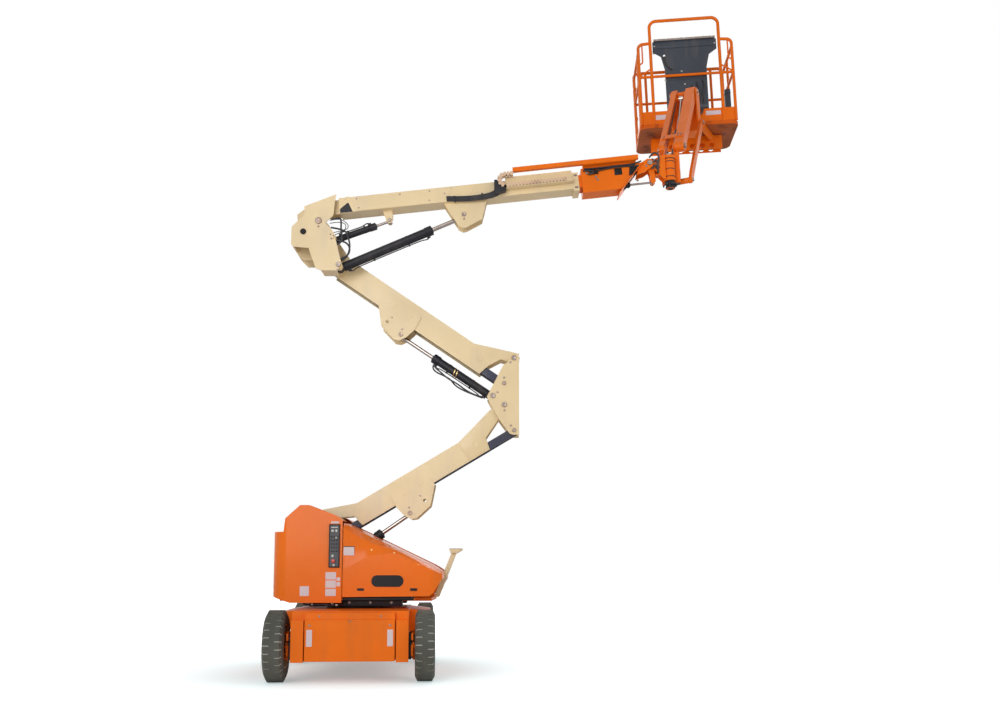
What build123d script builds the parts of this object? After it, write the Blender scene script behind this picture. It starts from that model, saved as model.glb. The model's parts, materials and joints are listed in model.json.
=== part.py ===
"""Articulating boom lift: narrow electric chassis, swinging turntable, two risers, telescoping main boom,
side-swinging jib and work platform. Millimetres, +Z up, +X along the raised boom, wheels rolling along Y.
The pieces are placed about the slew axis, then moved so that the origin is under the middle of the machine."""
from build123d import *
import math
import os

os.makedirs("parts", exist_ok=True)

# ---------------------------------------------------------------- chassis
WHEEL_RADIUS = 317.5
WHEEL_WIDTH = 178.0
RIM_RADIUS = 196.0
TRACK = 1322.0              # between wheel centres
WHEELBASE = 2000.0
CHASSIS_WIDTH = 1030.0
CHASSIS_BOTTOM = 196.0
CHASSIS_TOP = 628.0
CHASSIS_NEAR_END = -WHEELBASE / 2 - 190.0     # drive end
CHASSIS_WAIST = WHEELBASE / 2 - 440.0         # where the frame narrows for the steered wheels
CHASSIS_FAR_END = WHEELBASE / 2 + 150.0
WAIST_WIDTH = 660.0
DECK_WIDTH = 1430.0
DECK_HALF_LENGTH = WHEELBASE / 2 - 455.0
PLATE = 12.0                # common plate thickness
TIE_DOWN_X = 270.0          # tie-down lugs at the steered end
TIE_DOWN_Y = CHASSIS_FAR_END + 100.0
TIE_DOWN_Z = 450.0
TIE_DOWN_PLATE = 20.0
TIE_DOWN_HOLE = 21.0
END_PANEL_WIDTH = 790.0
END_PANEL_GAP = 10.0
KINGPIN_X = 500.0
KINGPIN_RADIUS = 22.0
STEER_ARM = 200.0
SPINDLE_RADIUS = 40.0
FIT = 0.3                   # running clearance at pins and spindles
HUB_FACE = 648.0            # distance of the wheel disc's inner face from the middle
DISC = 14.0

# ---------------------------------------------------------------- turntable
SLEW_RADIUS = 320.0
SLEW_X = -80.0               # slew axis, from the middle plane of the riser posts
CHASSIS_TURN = 4.3           # degrees by which the chassis stands off square to the boom
SLEW_HEIGHT = 62.0
TABLE_BOTTOM = CHASSIS_TOP + SLEW_HEIGHT + 4.0
TABLE_PLATE = 30.0
TABLE_TOP = TABLE_BOTTOM + TABLE_PLATE
TAIL_X = -830.0
NOSE_X = 783.0
SEAM_X = -150.0             # between the tail cover and the side hoods
SEAM_GAP = 6.0
HOOD_OUT = 640.0            # half width over the hoods
HOOD_IN = 175.0             # half width of the slot between the side hoods
TAIL_BOTTOM = 684.0
TAIL_HEIGHT = 1618.0
HOOD_WALL = 5.0
HOOD_SECTIONS = [
    # x, bottom, half width, top of the side, upper half width, its height, shoulder half width, its height, slot
    (-150.0, 738.0, 640.0, 985.0, 636.0, 1385.0, 590.0, 1432.0, 1442.0),
    (100.0, 741.0, 638.0, 1125.0, 585.0, 1245.0, 480.0, 1302.0, 1321.7),
    (340.0, 743.0, 636.0, 1150.0, 590.0, 1180.0, 470.0, 1199.0, 1206.3),
    (667.0, 745.0, 632.0, 1000.0, 590.0, 1024.0, 470.0, 1043.0, 1049.0),
    (706.0, 780.0, 612.0, 985.0, 570.0, 1004.0, 460.0, 1022.0, 1028.0),
    (783.0, 913.0, 540.0, 950.0, 505.0, 962.0, 420.0, 972.0, 976.0),
]
SLOT_PANEL = 6.0
HINGE_GAP = 2.6              # below the hood skin, at the hinge line

# ---------------------------------------------------------------- risers
RISER_HALF = 100.0          # half width of both riser beams
RISER_WALL = 8.0
LINK_DROP = 260.0           # levelling link pins, below and to the side of the riser pins
LINK_SIDE = 98.0
LINK_DEPTH = 76.0
LINK_IN = 52.0
LINK_BAR = 28.0
PIN = 24.0                  # pin radius of the main pivots
SMALL_PIN = 18.0
UPRIGHT_IN = 115.0
UPRIGHT_PLATE = 15.0
LOWER_PIVOT = (-511.0, 1515.0)
LOWER_LENGTH = 2200.0
LOWER_ANGLE = 31.0
LOWER_TOP = 90.0            # top and bottom of the beam below the line through its pins
LOWER_BOTTOM = 310.0
LOWER_EYE_AT = 828.0        # lift cylinder's upper pin: along the riser and below its pin line
LOWER_EYE_DROP = 450.0
LOWER_CYLINDER_BASE = (-441.5, 952.6)
UPRIGHT_RISE = 480.0        # from the lower riser's pin to the upper riser's pin
UPRIGHT_SHIFT = 96.0
UPPER_LENGTH = 2385.0
UPPER_ANGLE = 34.5
UPPER_TOP = 101.0
UPPER_BOTTOM = 329.0
UPPER_EYE_FROM_END = 1090.0
UPPER_EYE_DROP = 450.0
UPPER_CYLINDER_BASE = (-212.0, -388.0)   # from the upper riser's lower pin

# ---------------------------------------------------------------- main boom
BOOM_SIDE = -245.0          # middle plane of the main boom, beside the risers
BOOM_ANGLE = 6.2
BOOM_PIVOT = (-151.0, -113.0)            # from the upper riser's upper pin
BOOM_HALF = 100.0
BOOM_BOTTOM = 162.0         # of the tube, above the line through its pivot
BOOM_TOP = 320.0
BOOM_REAR = 380.0
BOOM_FRONT = 2815.0
BOOM_WALL = 8.0
BOOM_EYE = (1623.0, 26.0)   # main lift cylinder's pin, in the boom's frame
BOOM_CYLINDER_BASE = (207.0, -454.0)     # from the upper riser's upper pin
MASTER_BASE = (138.0, -165.0)
MASTER_EYE = (866.0, 60.0)
NEAR_PLATE_GAP = 17.0       # from the boom's side to the upright's near plate
CHEEK_IN = 170.0            # of the main lift cylinder's foot, beside the riser posts
CHEEK_OUT = 185.0
TRAY_FLOOR = BOOM_BOTTOM + 58
FLY_CLEARANCE = 7.0
FLY_REAR = 1150.0
FLY_NOSE_REAR = 2850.0
FLY_NOSE_TOP = 3475.0
FLY_NOSE_FOOT = 3245.0
LEVEL_PIVOT = (3560.0, 361.0)            # in the boom's frame
SLAVE_DROP = 185.0
SLAVE_PIN = 14.0

# ---------------------------------------------------------------- jib and platform
LEVEL_ERROR = 2.2           # degrees by which the platform stands out of level
JIB_AXIS_AHEAD = 210.0
JIB_SWING = 67.6
JIB_FOOT_AHEAD = 203.5
JIB_FOOT_UP = 258.0
JIB_LENGTH = 1301.0
JIB_ANGLE = 48.7
JIB_LINK_DROP = 378.0
ROTATOR_AHEAD = 268.0
PLATFORM_TURN = 18.9        # of the platform's own direction, past the jib's
PLATFORM_AHEAD = 420.0
PLATFORM_SIDE = 60.0
PLATFORM_WIDTH = 1180.0
PLATFORM_DEPTH = 760.0
RAIL_HEIGHT = 1045.0
RAIL_TUBE = 19.0
CORNER_TUBE = 18.0
SIDE_TUBE = 17.0
MID_TUBE = 16.0
POST_TUBE = 15.0
FLOOR_BELOW_JIB_HEAD = 32.0

PARTS = {}


def keep(name, shape):
    """Store one sub-part under its node name."""
    PARTS[name] = shape


def box(x0, x1, y0, y1, z0, z1):
    """A box between two values on each axis."""
    size = (abs(x1 - x0), abs(y1 - y0), abs(z1 - z0))
    return Pos((x0 + x1) / 2, (y0 + y1) / 2, (z0 + z1) / 2) * Box(*size)


def plate(outline, y0, y1):
    """A flat plate with its outline in X and Z, between two Y values."""
    face = Plane.XZ * make_face(Polyline(*outline, close=True))
    return Pos(0, min(y0, y1), 0) * extrude(face, amount=-abs(y1 - y0))


def drum(x, z, radius, y0, y1):
    """A round bar across the machine, along Y."""
    return Pos(x, (y0 + y1) / 2, z) * Rot(90, 0, 0) * Cylinder(radius, abs(y1 - y0))


def both(shape):
    """The shape and its mirror image on the other side of the middle plane."""
    return shape + mirror(shape, about=Plane.XZ)


def turned(point, angle):
    """A point (x, z) turned upwards about the origin."""
    a = math.radians(angle)
    return (point[0] * math.cos(a) - point[1] * math.sin(a), point[0] * math.sin(a) + point[1] * math.cos(a))


def shifted(point, step):
    return (point[0] + step[0], point[1] + step[1])


def place(point, angle=0.0, y=0.0):
    """Location of a frame at (x, z), with its X axis turned upwards by an angle."""
    return Pos(point[0], y, point[1]) * Rot(0, -angle, 0)


def aim(start, end):
    """Length and upward angle of the line from one (x, z) point to another."""
    dx, dz = end[0] - start[0], end[1] - start[1]
    return math.hypot(dx, dz), math.degrees(math.atan2(dz, dx))


# ---------------------------------------------------------------- pivot points in the machine's frame
UPRIGHT_FOOT = shifted(LOWER_PIVOT, turned((LOWER_LENGTH, 0), LOWER_ANGLE))
UPPER_PIVOT = shifted(UPRIGHT_FOOT, (UPRIGHT_SHIFT, UPRIGHT_RISE))
TOWER_HEAD = shifted(UPPER_PIVOT, turned((-UPPER_LENGTH, 0), -UPPER_ANGLE))
LOWER_LINK_PIN = shifted(LOWER_PIVOT, (LINK_SIDE, -LINK_DROP))
FOOT_LINK_PIN = shifted(UPRIGHT_FOOT, (LINK_SIDE, -LINK_DROP))
UPPER_LINK_PIN = shifted(UPPER_PIVOT, (-LINK_SIDE, -LINK_DROP))
HEAD_LINK_PIN = shifted(TOWER_HEAD, (-LINK_SIDE, -LINK_DROP))
BOOM_PIN = shifted(TOWER_HEAD, BOOM_PIVOT)
LOWER_EYE = shifted(LOWER_PIVOT, turned((LOWER_EYE_AT, -LOWER_EYE_DROP), LOWER_ANGLE))
UPPER_EYE = shifted(UPPER_PIVOT, turned((-UPPER_EYE_FROM_END, -UPPER_EYE_DROP), -UPPER_ANGLE))
UPPER_BASE = shifted(UPPER_PIVOT, UPPER_CYLINDER_BASE)
MAIN_BASE = shifted(TOWER_HEAD, BOOM_CYLINDER_BASE)
MAIN_EYE = shifted(BOOM_PIN, turned(BOOM_EYE, BOOM_ANGLE))
MASTER_START = shifted(TOWER_HEAD, MASTER_BASE)
MASTER_END = shifted(BOOM_PIN, turned(MASTER_EYE, BOOM_ANGLE))
LEVEL_PIN = shifted(BOOM_PIN, turned(LEVEL_PIVOT, BOOM_ANGLE))


# ---------------------------------------------------------------- wheels
def tyre():
    """Solid tyre about the X axis, with cut shoulders."""
    half = WHEEL_WIDTH / 2
    shoulder = 22.0
    section = [(-half, RIM_RADIUS), (-half, WHEEL_RADIUS - 2 * shoulder), (-half + shoulder, WHEEL_RADIUS),
               (half - shoulder, WHEEL_RADIUS), (half, WHEEL_RADIUS - 2 * shoulder), (half, RIM_RADIUS)]
    face = Plane.XY * make_face(Polyline(*section, close=True))
    return revolve(face, axis=Axis.X)


def rim():
    """Wheel rim about the X axis; its disc stands to the outer, positive side, with a bore for the spindle."""
    half = WHEEL_WIDTH / 2
    wall = 12.0
    disc_in = HUB_FACE - TRACK / 2
    outer = RIM_RADIUS - 0.05
    section = [(-half + 4, outer - wall), (-half + 4, outer), (half - 4, outer), (half - 4, outer - wall),
               (disc_in + DISC + 30, outer - wall), (disc_in + DISC, outer - 3 * wall),
               (disc_in + DISC, SPINDLE_RADIUS + 50), (disc_in + DISC + 22, SPINDLE_RADIUS + 36),
               (disc_in + DISC + 22, SPINDLE_RADIUS + FIT), (disc_in, SPINDLE_RADIUS + FIT),
               (disc_in, outer - 4 * wall), (disc_in + DISC, outer - 2 * wall), (disc_in, outer - wall)]
    face = Plane.XY * make_face(Polyline(*section, close=True))
    body = revolve(face, axis=Axis.X)
    nuts = [Rot(a, 0, 0) * Pos(disc_in + DISC + 6, 0, SPINDLE_RADIUS + 66) * Rot(0, 90, 0) * Cylinder(10, 12)
            for a in range(0, 360, 40)]
    return body + nuts


def spindle(flange_at):
    """Spindle and hub flange from a given distance out to the wheel disc, along +X."""
    flange = Pos((flange_at + HUB_FACE - FIT) / 2, 0, 0) * Rot(0, 90, 0) * Cylinder(
        SPINDLE_RADIUS + 42, HUB_FACE - FIT - flange_at)
    shaft_end = HUB_FACE + DISC + 30
    shaft = Pos((flange_at + shaft_end) / 2, 0, 0) * Rot(0, 90, 0) * Cylinder(SPINDLE_RADIUS, shaft_end - flange_at)
    return flange + shaft


def side_of(shape, side):
    """The shape as modelled for +X, or its mirror image for the -X side."""
    return shape if side > 0 else mirror(shape, about=Plane.YZ)


chassis_at = Pos(SLEW_X, 0, 0) * Rot(0, 0, CHASSIS_TURN)
for axle, axle_y in (("drive", -WHEELBASE / 2), ("steer", WHEELBASE / 2)):
    for side_name, side in (("left", -1), ("right", 1)):
        at = Pos(side * TRACK / 2, axle_y, WHEEL_RADIUS)
        keep(f"{axle}_tyre_{side_name}", chassis_at * at * side_of(tyre(), side))
        keep(f"{axle}_rim_{side_name}", chassis_at * at * side_of(rim(), side))


# ---------------------------------------------------------------- chassis
def chassis_frame():
    """Welded chassis: wide box at the drive end, narrow box between the steered wheels, side decks, axle beam."""
    half = CHASSIS_WIDTH / 2
    waist = WAIST_WIDTH / 2
    lip = 55.0
    wide = box(-half, half, CHASSIS_NEAR_END + lip, CHASSIS_WAIST, CHASSIS_BOTTOM, CHASSIS_TOP)
    narrow = box(-waist, waist, CHASSIS_WAIST - 20, CHASSIS_FAR_END, CHASSIS_BOTTOM, CHASSIS_TOP)
    body = wide + narrow
    skin = PLATE
    body -= box(-half + skin, half - skin, CHASSIS_NEAR_END + lip + skin, CHASSIS_WAIST - skin,
                CHASSIS_BOTTOM + skin, CHASSIS_TOP - 20)
    body -= box(-waist + skin, waist - skin, CHASSIS_WAIST - 2 * skin, CHASSIS_FAR_END - skin,
                CHASSIS_BOTTOM + skin, CHASSIS_TOP - skin)
    # side blocks that frame the end panel, with a sloping shoulder on top
    block_in = END_PANEL_WIDTH / 2 + END_PANEL_GAP
    block_top = CHASSIS_TOP - 78.0
    for side in (-1, 1):
        body += box(side * block_in, side * half, CHASSIS_NEAR_END, CHASSIS_NEAR_END + lip,
                    CHASSIS_BOTTOM - 12, block_top)
    # side decks between the wheels
    deck = DECK_WIDTH / 2
    for side in (-1, 1):
        outline = [(side * (half - 1), CHASSIS_TOP - 6), (side * deck, CHASSIS_TOP - 34),
                   (side * deck, CHASSIS_TOP - 150), (side * (half - 1), CHASSIS_TOP - 220)]
        body += plate(outline, -DECK_HALF_LENGTH, DECK_HALF_LENGTH)
    # tie-down lugs at the steered end
    for side in (-1, 1):
        lug = box(side * (TIE_DOWN_X - 45), side * (TIE_DOWN_X + 45), CHASSIS_FAR_END - 1, TIE_DOWN_Y + 45,
                  TIE_DOWN_Z - TIE_DOWN_PLATE / 2, TIE_DOWN_Z + TIE_DOWN_PLATE / 2)
        hole = Pos(side * TIE_DOWN_X, TIE_DOWN_Y, TIE_DOWN_Z) * Cylinder(TIE_DOWN_HOLE, 2 * TIE_DOWN_PLATE)
        body += lug - hole
    # axle beam of the steered wheels with a fork at each end
    arm = 38.0
    fork_low, fork_high = WHEEL_RADIUS - 95.0, WHEEL_RADIUS + 95.0
    axle = WHEELBASE / 2
    for side in (-1, 1):
        beam = box(side * (waist - 1), side * (KINGPIN_X - 75), axle - arm, axle + arm,
                   fork_low - 22, fork_high + 22)
        for z in (fork_low, fork_high):
            beam += box(side * (KINGPIN_X - 76), side * KINGPIN_X, axle - arm, axle + arm, z - 22, z + 22)
            beam += Pos(side * KINGPIN_X, axle, z) * Cylinder(arm, 44)
        beam += Pos(side * KINGPIN_X, axle, WHEEL_RADIUS) * Cylinder(KINGPIN_RADIUS, fork_high - fork_low + 60)
        body += beam
    return body


def end_panel():
    """Battery-charger panel that closes the drive end, with a set-back strip on top."""
    half = END_PANEL_WIDTH / 2
    face = CHASSIS_NEAR_END - 6
    back = CHASSIS_NEAR_END + 55.0 - FIT
    lower = box(-half, half, face, back, CHASSIS_BOTTOM - 4, CHASSIS_TOP - 74)
    upper = box(-half, half, face + 24, back, CHASSIS_TOP - 75, CHASSIS_TOP - 14)
    return lower + upper


def drive_hubs():
    """Wheel drive gearboxes bolted to the chassis sides at the drive end."""
    half = CHASSIS_WIDTH / 2
    out = []
    for side in (-1, 1):
        pad = Pos(half + 12.5 + FIT, 0, 0) * Box(25, 250, 230)
        case = Pos((half + 25 + HUB_FACE - 55) / 2, 0, 0) * Rot(0, 90, 0) * Cylinder(115, HUB_FACE - 55 - half - 20)
        lug = Pos(half + 25, -110, 70) * Rot(0, 90, 0) * Cylinder(34, 50)
        unit = pad + case + lug + spindle(half + 60)
        out.append(Pos(0, -WHEELBASE / 2, WHEEL_RADIUS) * side_of(unit, side))
    return Compound(children=out)


def knuckle(side):
    """Steering knuckle: post about the kingpin, spindle and steering arm."""
    post_half = 95.0 - 22 - 1
    post = Pos(KINGPIN_X, 0, 0) * (Cylinder(42, 2 * post_half) - Cylinder(KINGPIN_RADIUS + FIT, 2 * post_half + 2))
    web = box(KINGPIN_X + 30, KINGPIN_X + 80, -30, 30, -50, 50)
    bore = Pos(KINGPIN_X, 0, 0) * Cylinder(KINGPIN_RADIUS + FIT, 4 * post_half)
    arm_z = -45.0
    arm = box(KINGPIN_X - 22, KINGPIN_X + 22, 30, STEER_ARM, arm_z - 12, arm_z + 12)
    arm += Pos(KINGPIN_X, STEER_ARM, arm_z) * Cylinder(26, 24)
    shape = post + web + spindle(KINGPIN_X + 70) + arm
    shape = side_of(shape - bore, side)
    return Pos(0, WHEELBASE / 2, WHEEL_RADIUS) * shape


def tie_rod():
    """Tie rod with the steering cylinder's fork, resting on both steering arms."""
    z = WHEEL_RADIUS - 45.0 + 12 + FIT + 15
    y = WHEELBASE / 2 + STEER_ARM
    rod = Pos(0, y, z) * Rot(0, 90, 0) * Cylinder(13, 2 * KINGPIN_X)
    ends = [Pos(side * KINGPIN_X, y, z) * Cylinder(24, 30) for side in (-1, 1)]
    return rod + ends


keep("chassis_frame", chassis_at * chassis_frame())
keep("chassis_end_panel", chassis_at * end_panel())
keep("drive_hubs", chassis_at * drive_hubs())
for side_name, side in (("left", -1), ("right", 1)):
    keep(f"steer_knuckle_{side_name}", chassis_at * knuckle(side))
keep("tie_rod", chassis_at * tie_rod())
ring_z = CHASSIS_TOP + SLEW_HEIGHT / 2
keep("slew_ring", Pos(SLEW_X, 0, ring_z) * (Cylinder(SLEW_RADIUS, SLEW_HEIGHT) - Cylinder(SLEW_RADIUS - 90, SLEW_HEIGHT + 2)))


# ---------------------------------------------------------------- turntable
def turntable_frame():
    """Base plate with the riser posts, which carry the pins of riser, link and lift cylinder."""
    body = box(TAIL_X + 40, NOSE_X - 110, -380, 380, TABLE_BOTTOM, TABLE_TOP)
    body += box(TAIL_X + 100, NOSE_X - 260, -HOOD_OUT + 30, HOOD_OUT - 30, TABLE_BOTTOM + 16, TABLE_TOP)
    body += Pos(SLEW_X, 0, TABLE_BOTTOM - 1.8) * Cylinder(SLEW_RADIUS - 30, 4.0)
    px, pz = LOWER_PIVOT
    cx, cz = LOWER_CYLINDER_BASE
    lx, lz = LOWER_LINK_PIN
    post_in = UPRIGHT_IN + UPRIGHT_PLATE + 10
    outline = [(TAIL_X + 205, TABLE_TOP - 2), (px - 70, pz - 40), (px - 45, pz + 45), (px + 45, pz + 45),
               (lx + 70, lz), (cx + 95, cz + 30), (cx + 330, TABLE_TOP - 2)]
    body += both(plate(outline, post_in, post_in + UPRIGHT_PLATE))
    for (x, z), radius in ((LOWER_PIVOT, PIN), (LOWER_LINK_PIN, SMALL_PIN), (LOWER_CYLINDER_BASE, PIN)):
        body += drum(x, z, radius, -post_in - UPRIGHT_PLATE - 8, post_in + UPRIGHT_PLATE + 8)
    for (x, z), inner in ((LOWER_PIVOT, RISER_HALF), (LOWER_LINK_PIN, LINK_IN + LINK_BAR), (LOWER_CYLINDER_BASE, 42)):
        body += both(drum(x, z, 40, inner + FIT, post_in + 1))
    # tabs that hold the tail cover
    tab = HOOD_OUT - HOOD_WALL - FIT
    body += box(-500, -300, -tab, tab, TABLE_BOTTOM + 16, TABLE_TOP)
    # panels along the slot, to which the side hoods are hinged
    rear, front = HOOD_SECTIONS[0], HOOD_SECTIONS[3]
    drop = HOOD_WALL + HINGE_GAP
    panel = [(rear[0] + 4, TABLE_TOP - 2), (rear[0] + 4, rear[-1] - drop), (front[0], front[-1] - drop),
             (front[0], TABLE_TOP - 2)]
    body += both(plate(panel, HOOD_IN - FIT - SLOT_PANEL, HOOD_IN - FIT))
    # cross wall between the posts at the tail
    body += box(TAIL_X + 205, TAIL_X + 220, -post_in - 1, post_in + 1, TABLE_TOP - 2, TABLE_TOP + 260)
    return body


def boom_rest():
    """Cradle on a leaning leg at the front, where the lower riser lies when stowed."""
    top_z = LOWER_PIVOT[1] - LOWER_BOTTOM - 6
    leg = plate([(NOSE_X - 112, TABLE_TOP), (NOSE_X - 60, TABLE_TOP), (NOSE_X + 110, top_z - 40),
                 (NOSE_X + 62, top_z - 40)], -60, 60)
    inner = plate([(NOSE_X - 90, TABLE_TOP + 12), (NOSE_X - 68, TABLE_TOP + 12), (NOSE_X + 90, top_z - 52),
                   (NOSE_X + 76, top_z - 52)], -52, 52)
    head = plate([(NOSE_X + 40, top_z), (NOSE_X + 55, top_z - 42), (NOSE_X + 118, top_z - 42),
                  (NOSE_X + 172, top_z - 8), (NOSE_X + 172, top_z)], -RISER_HALF + 5, RISER_HALF - 5)
    return leg - inner + head


def tail_cover():
    """Hollow tail cover, round at the corners, with a slot on top for the tower head."""
    radius = 170.0
    foot = 60.0

    def block(grow, bottom):
        side = HOOD_OUT - grow
        back = TAIL_X + grow
        front = SEAM_X - SEAM_GAP
        plan = Plane.XY.offset(bottom) * make_face(Polyline((back, -side), (front, -side), (front, side), (back, side),
                                                            close=True))
        height = TAIL_HEIGHT - grow - bottom
        solid = extrude(plan, amount=height)
        corners = solid.edges().filter_by(Axis.Z).sort_by(Axis.X)[:2]
        return fillet(corners, radius - grow)

    outer = block(0, TAIL_BOTTOM)
    inner = block(HOOD_WALL, TAIL_BOTTOM - 10)
    # the roof falls away to the rear and to the front
    peak = 1602.0
    over = peak + 200
    ridge = [(TAIL_X - 10, 1350.0), (-716.0, 1350.0), (-702.0, 1475.0), (-562.0, peak), (-475.0, peak),
             (-226.0, 1506.0), (SEAM_X + 10, 1445.0), (SEAM_X + 10, over), (TAIL_X - 10, over)]
    low = [(x, z - HOOD_WALL) for x, z in ridge]
    outer -= plate(ridge, -HOOD_OUT - 10, HOOD_OUT + 10)
    inner -= plate(low, -HOOD_OUT - 10, HOOD_OUT + 10)
    # underside rises towards the tail
    rise = [(TAIL_X - 5, TAIL_BOTTOM + foot), (TAIL_X + 190, TAIL_BOTTOM - 1), (TAIL_X - 5, TAIL_BOTTOM - 1)]
    shell = outer - inner
    shell -= plate(rise, -HOOD_OUT - 10, HOOD_OUT + 10)
    # slot for the tower head when it is down, and for the lower riser
    shell -= box(-690, SEAM_X + 20, -405, 165, 1250, 1800)
    shell -= box(-420, SEAM_X + 20, -HOOD_IN, HOOD_IN, 600, 1800)
    return shell


def hood_section(x, grow, side):
    """Section of a side hood across the machine at x; a grown one is inset and reaches past the open sides."""
    for near, far in zip(HOOD_SECTIONS, HOOD_SECTIONS[1:]):
        if x <= far[0]:
            break
    share = (x - near[0]) / (far[0] - near[0])
    bottom, out, side_z, upper, upper_z, shoulder, shoulder_z, slot_z = (
        a + share * (b - a) for a, b in zip(near[1:], far[1:]))
    past = 10 if grow else 0
    points = [(out - grow, bottom - past), (out - grow, side_z), (upper - grow, upper_z - grow),
              (shoulder - grow, shoulder_z - grow),
              (HOOD_IN - past, slot_z - grow), (HOOD_IN - past, bottom - past)]
    plane = Plane(origin=(x, 0, 0), x_dir=(0, 1, 0), z_dir=(1, 0, 0))
    return plane * make_face(Polyline(*[(side * y, z) for y, z in points], close=True))


def side_hood(side):
    """Side hood from the seam to the nose: a skin of top, leaning facet, side and nose, open to slot and rear."""
    def body(grow):
        stations = [section[0] for section in HOOD_SECTIONS]
        stations[0] -= 2 * grow
        stations[-1] -= grow
        faces = [hood_section(x, grow, side) for x in stations]
        solid = None
        for first, second in zip(faces, faces[1:]):
            stretch = loft([first, second], ruled=True)
            solid = stretch if solid is None else solid + stretch
        return solid

    return body(0) - body(HOOD_WALL)


def ground_controls():
    """Ground control box in the near side of the tail cover."""
    x0, x1 = -279.0, -182.0
    y = -HOOD_OUT
    return box(x0, x1, y - 12, y - FIT, 1015, 1417)


keep("turntable_frame", turntable_frame())
keep("boom_rest", boom_rest())
keep("tail_cover", tail_cover())
keep("hood_near", side_hood(-1))
keep("hood_far", side_hood(1))
keep("ground_controls", ground_controls())
keep("counterweight", box(TAIL_X + 45, TAIL_X + 195, -560, 560, TABLE_TOP, TABLE_TOP + 520))
keep("battery_blocks", Compound(children=[
    box(-130, 490, side * 205, side * 540, TABLE_TOP, TABLE_TOP + 260) for side in (-1, 1)]))


# ---------------------------------------------------------------- risers
BRACKET = [(350, 250), (360, 120), (212, -43), (30, -81), (-22, -60), (-63, 9), (-89, 122), (-70, 270), (180, 275)]


def riser(length, top, bottom, eye_at, eye_drop, rear_foot, front_foot, bracket_side):
    """Riser beam in its own frame: X from its left pin to its right pin, open below, with fanned end plates."""
    side_in = RISER_HALF - RISER_WALL
    fan = 62.0

    def end(foot):
        return [(foot[0], -bottom), (foot[0] - 28, -bottom + 120), (105, -82), (30, -58)]

    left = end(rear_foot)
    right = [(length - x, z) for x, z in reversed(end(front_foot))]
    outline = [(-45, -40), (-fan, 0), (-45, 40), (0, fan), (40, 50), (420, -top), (length - 420, -top),
               (length - 40, 50), (length, fan), (length + 45, 40), (length + fan, 0), (length + 45, -40)]
    outline = outline + right + left
    side = plate(outline, side_in, RISER_HALF)
    side -= drum(0, 0, PIN + FIT, 0, 400)
    side -= drum(length, 0, PIN + FIT, 0, 400)
    body = both(side)
    lid = 10.0
    body += box(418, length - 418, -side_in - 1, side_in + 1, -top - lid, -top)
    body += both(box(left[0][0], right[-1][0], LINK_IN + LINK_BAR + 6, side_in + 1, -bottom, -bottom + 8))
    # lift cylinder bracket on both sides, with short pins that hold the rod's eye
    bracket = [(eye_at + bracket_side * x, z - eye_drop) for x, z in BRACKET]
    wing = plate(bracket, RISER_HALF - 1, RISER_HALF + PLATE)
    wing -= drum(eye_at + bracket_side * 190, 32 - eye_drop, 17, 0, 400)
    wing += drum(eye_at, -eye_drop, 30, 34, RISER_HALF + 1)
    wing += drum(eye_at, -eye_drop, SMALL_PIN, RISER_HALF, RISER_HALF + PLATE + 12)
    for x in (40, 244):
        wing += drum(eye_at + bracket_side * x, 205 - eye_drop, 30, RISER_HALF + PLATE - 1, RISER_HALF + PLATE + 5)
    return body + both(wing)


def link(length):
    """Levelling link in its own frame: two bars inside the riser, joined by cross tubes."""
    bar = plate([(0, -LINK_DEPTH / 2), (length, -LINK_DEPTH / 2), (length, LINK_DEPTH / 2), (0, LINK_DEPTH / 2)],
                LINK_IN, LINK_IN + LINK_BAR)
    for x in (0, length):
        bar += drum(x, 0, LINK_DEPTH / 2, LINK_IN, LINK_IN + LINK_BAR)
    for x in (0, length):
        bar -= drum(x, 0, SMALL_PIN + FIT, 0, 200)
    body = both(bar)
    for x in (length * 0.22, length * 0.78):
        body += drum(x, 0, 26, -LINK_IN - 1, LINK_IN + 1)
    return body


def cylinder(length, barrel, bore, rod, tail, eye=38.0, width=84.0, rod_width=58.0, base_pin=PIN):
    """Hydraulic cylinder in its own frame, from its base pin towards its rod's eye: (barrel, rod)."""
    outer = Pos(barrel / 2 + 20, 0, 0) * Rot(0, 90, 0) * Cylinder(bore, barrel - 40)
    outer += Pos(barrel - 30, 0, 0) * Rot(0, 90, 0) * Cylinder(bore + 4, 60)
    outer += drum(0, 0, eye, -width / 2, width / 2)
    outer += box(0, 60, -width / 2 + 8, width / 2 - 8, -eye + 8, eye - 8)
    outer -= Pos((barrel + 70) / 2, 0, 0) * Rot(0, 90, 0) * Cylinder(rod + 0.4, barrel - 65)
    outer -= drum(0, 0, base_pin + FIT, -width, width)
    shaft = Pos((tail + length) / 2, 0, 0) * Rot(0, 90, 0) * Cylinder(rod, length - tail - 20)
    shaft += drum(length, 0, eye - 4, -rod_width / 2, rod_width / 2)
    shaft -= drum(length, 0, min(SMALL_PIN, eye - 14) + FIT, -rod_width, rod_width)
    return outer, shaft


lower_at = place(LOWER_PIVOT, LOWER_ANGLE)
upper_at = place(TOWER_HEAD, -UPPER_ANGLE)
keep("lower_riser", lower_at * riser(LOWER_LENGTH, LOWER_TOP, LOWER_BOTTOM, LOWER_EYE_AT, LOWER_EYE_DROP,
                                     (360, 0), (360, 0), 1))
keep("upper_riser", upper_at * riser(UPPER_LENGTH, UPPER_TOP, UPPER_BOTTOM, UPPER_LENGTH - UPPER_EYE_FROM_END,
                                     UPPER_EYE_DROP, (360, 0), (200, 0), -1))
keep("lower_link", place(LOWER_LINK_PIN, LOWER_ANGLE) * link(LOWER_LENGTH))
keep("upper_link", place(HEAD_LINK_PIN, -UPPER_ANGLE) * link(UPPER_LENGTH))

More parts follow.
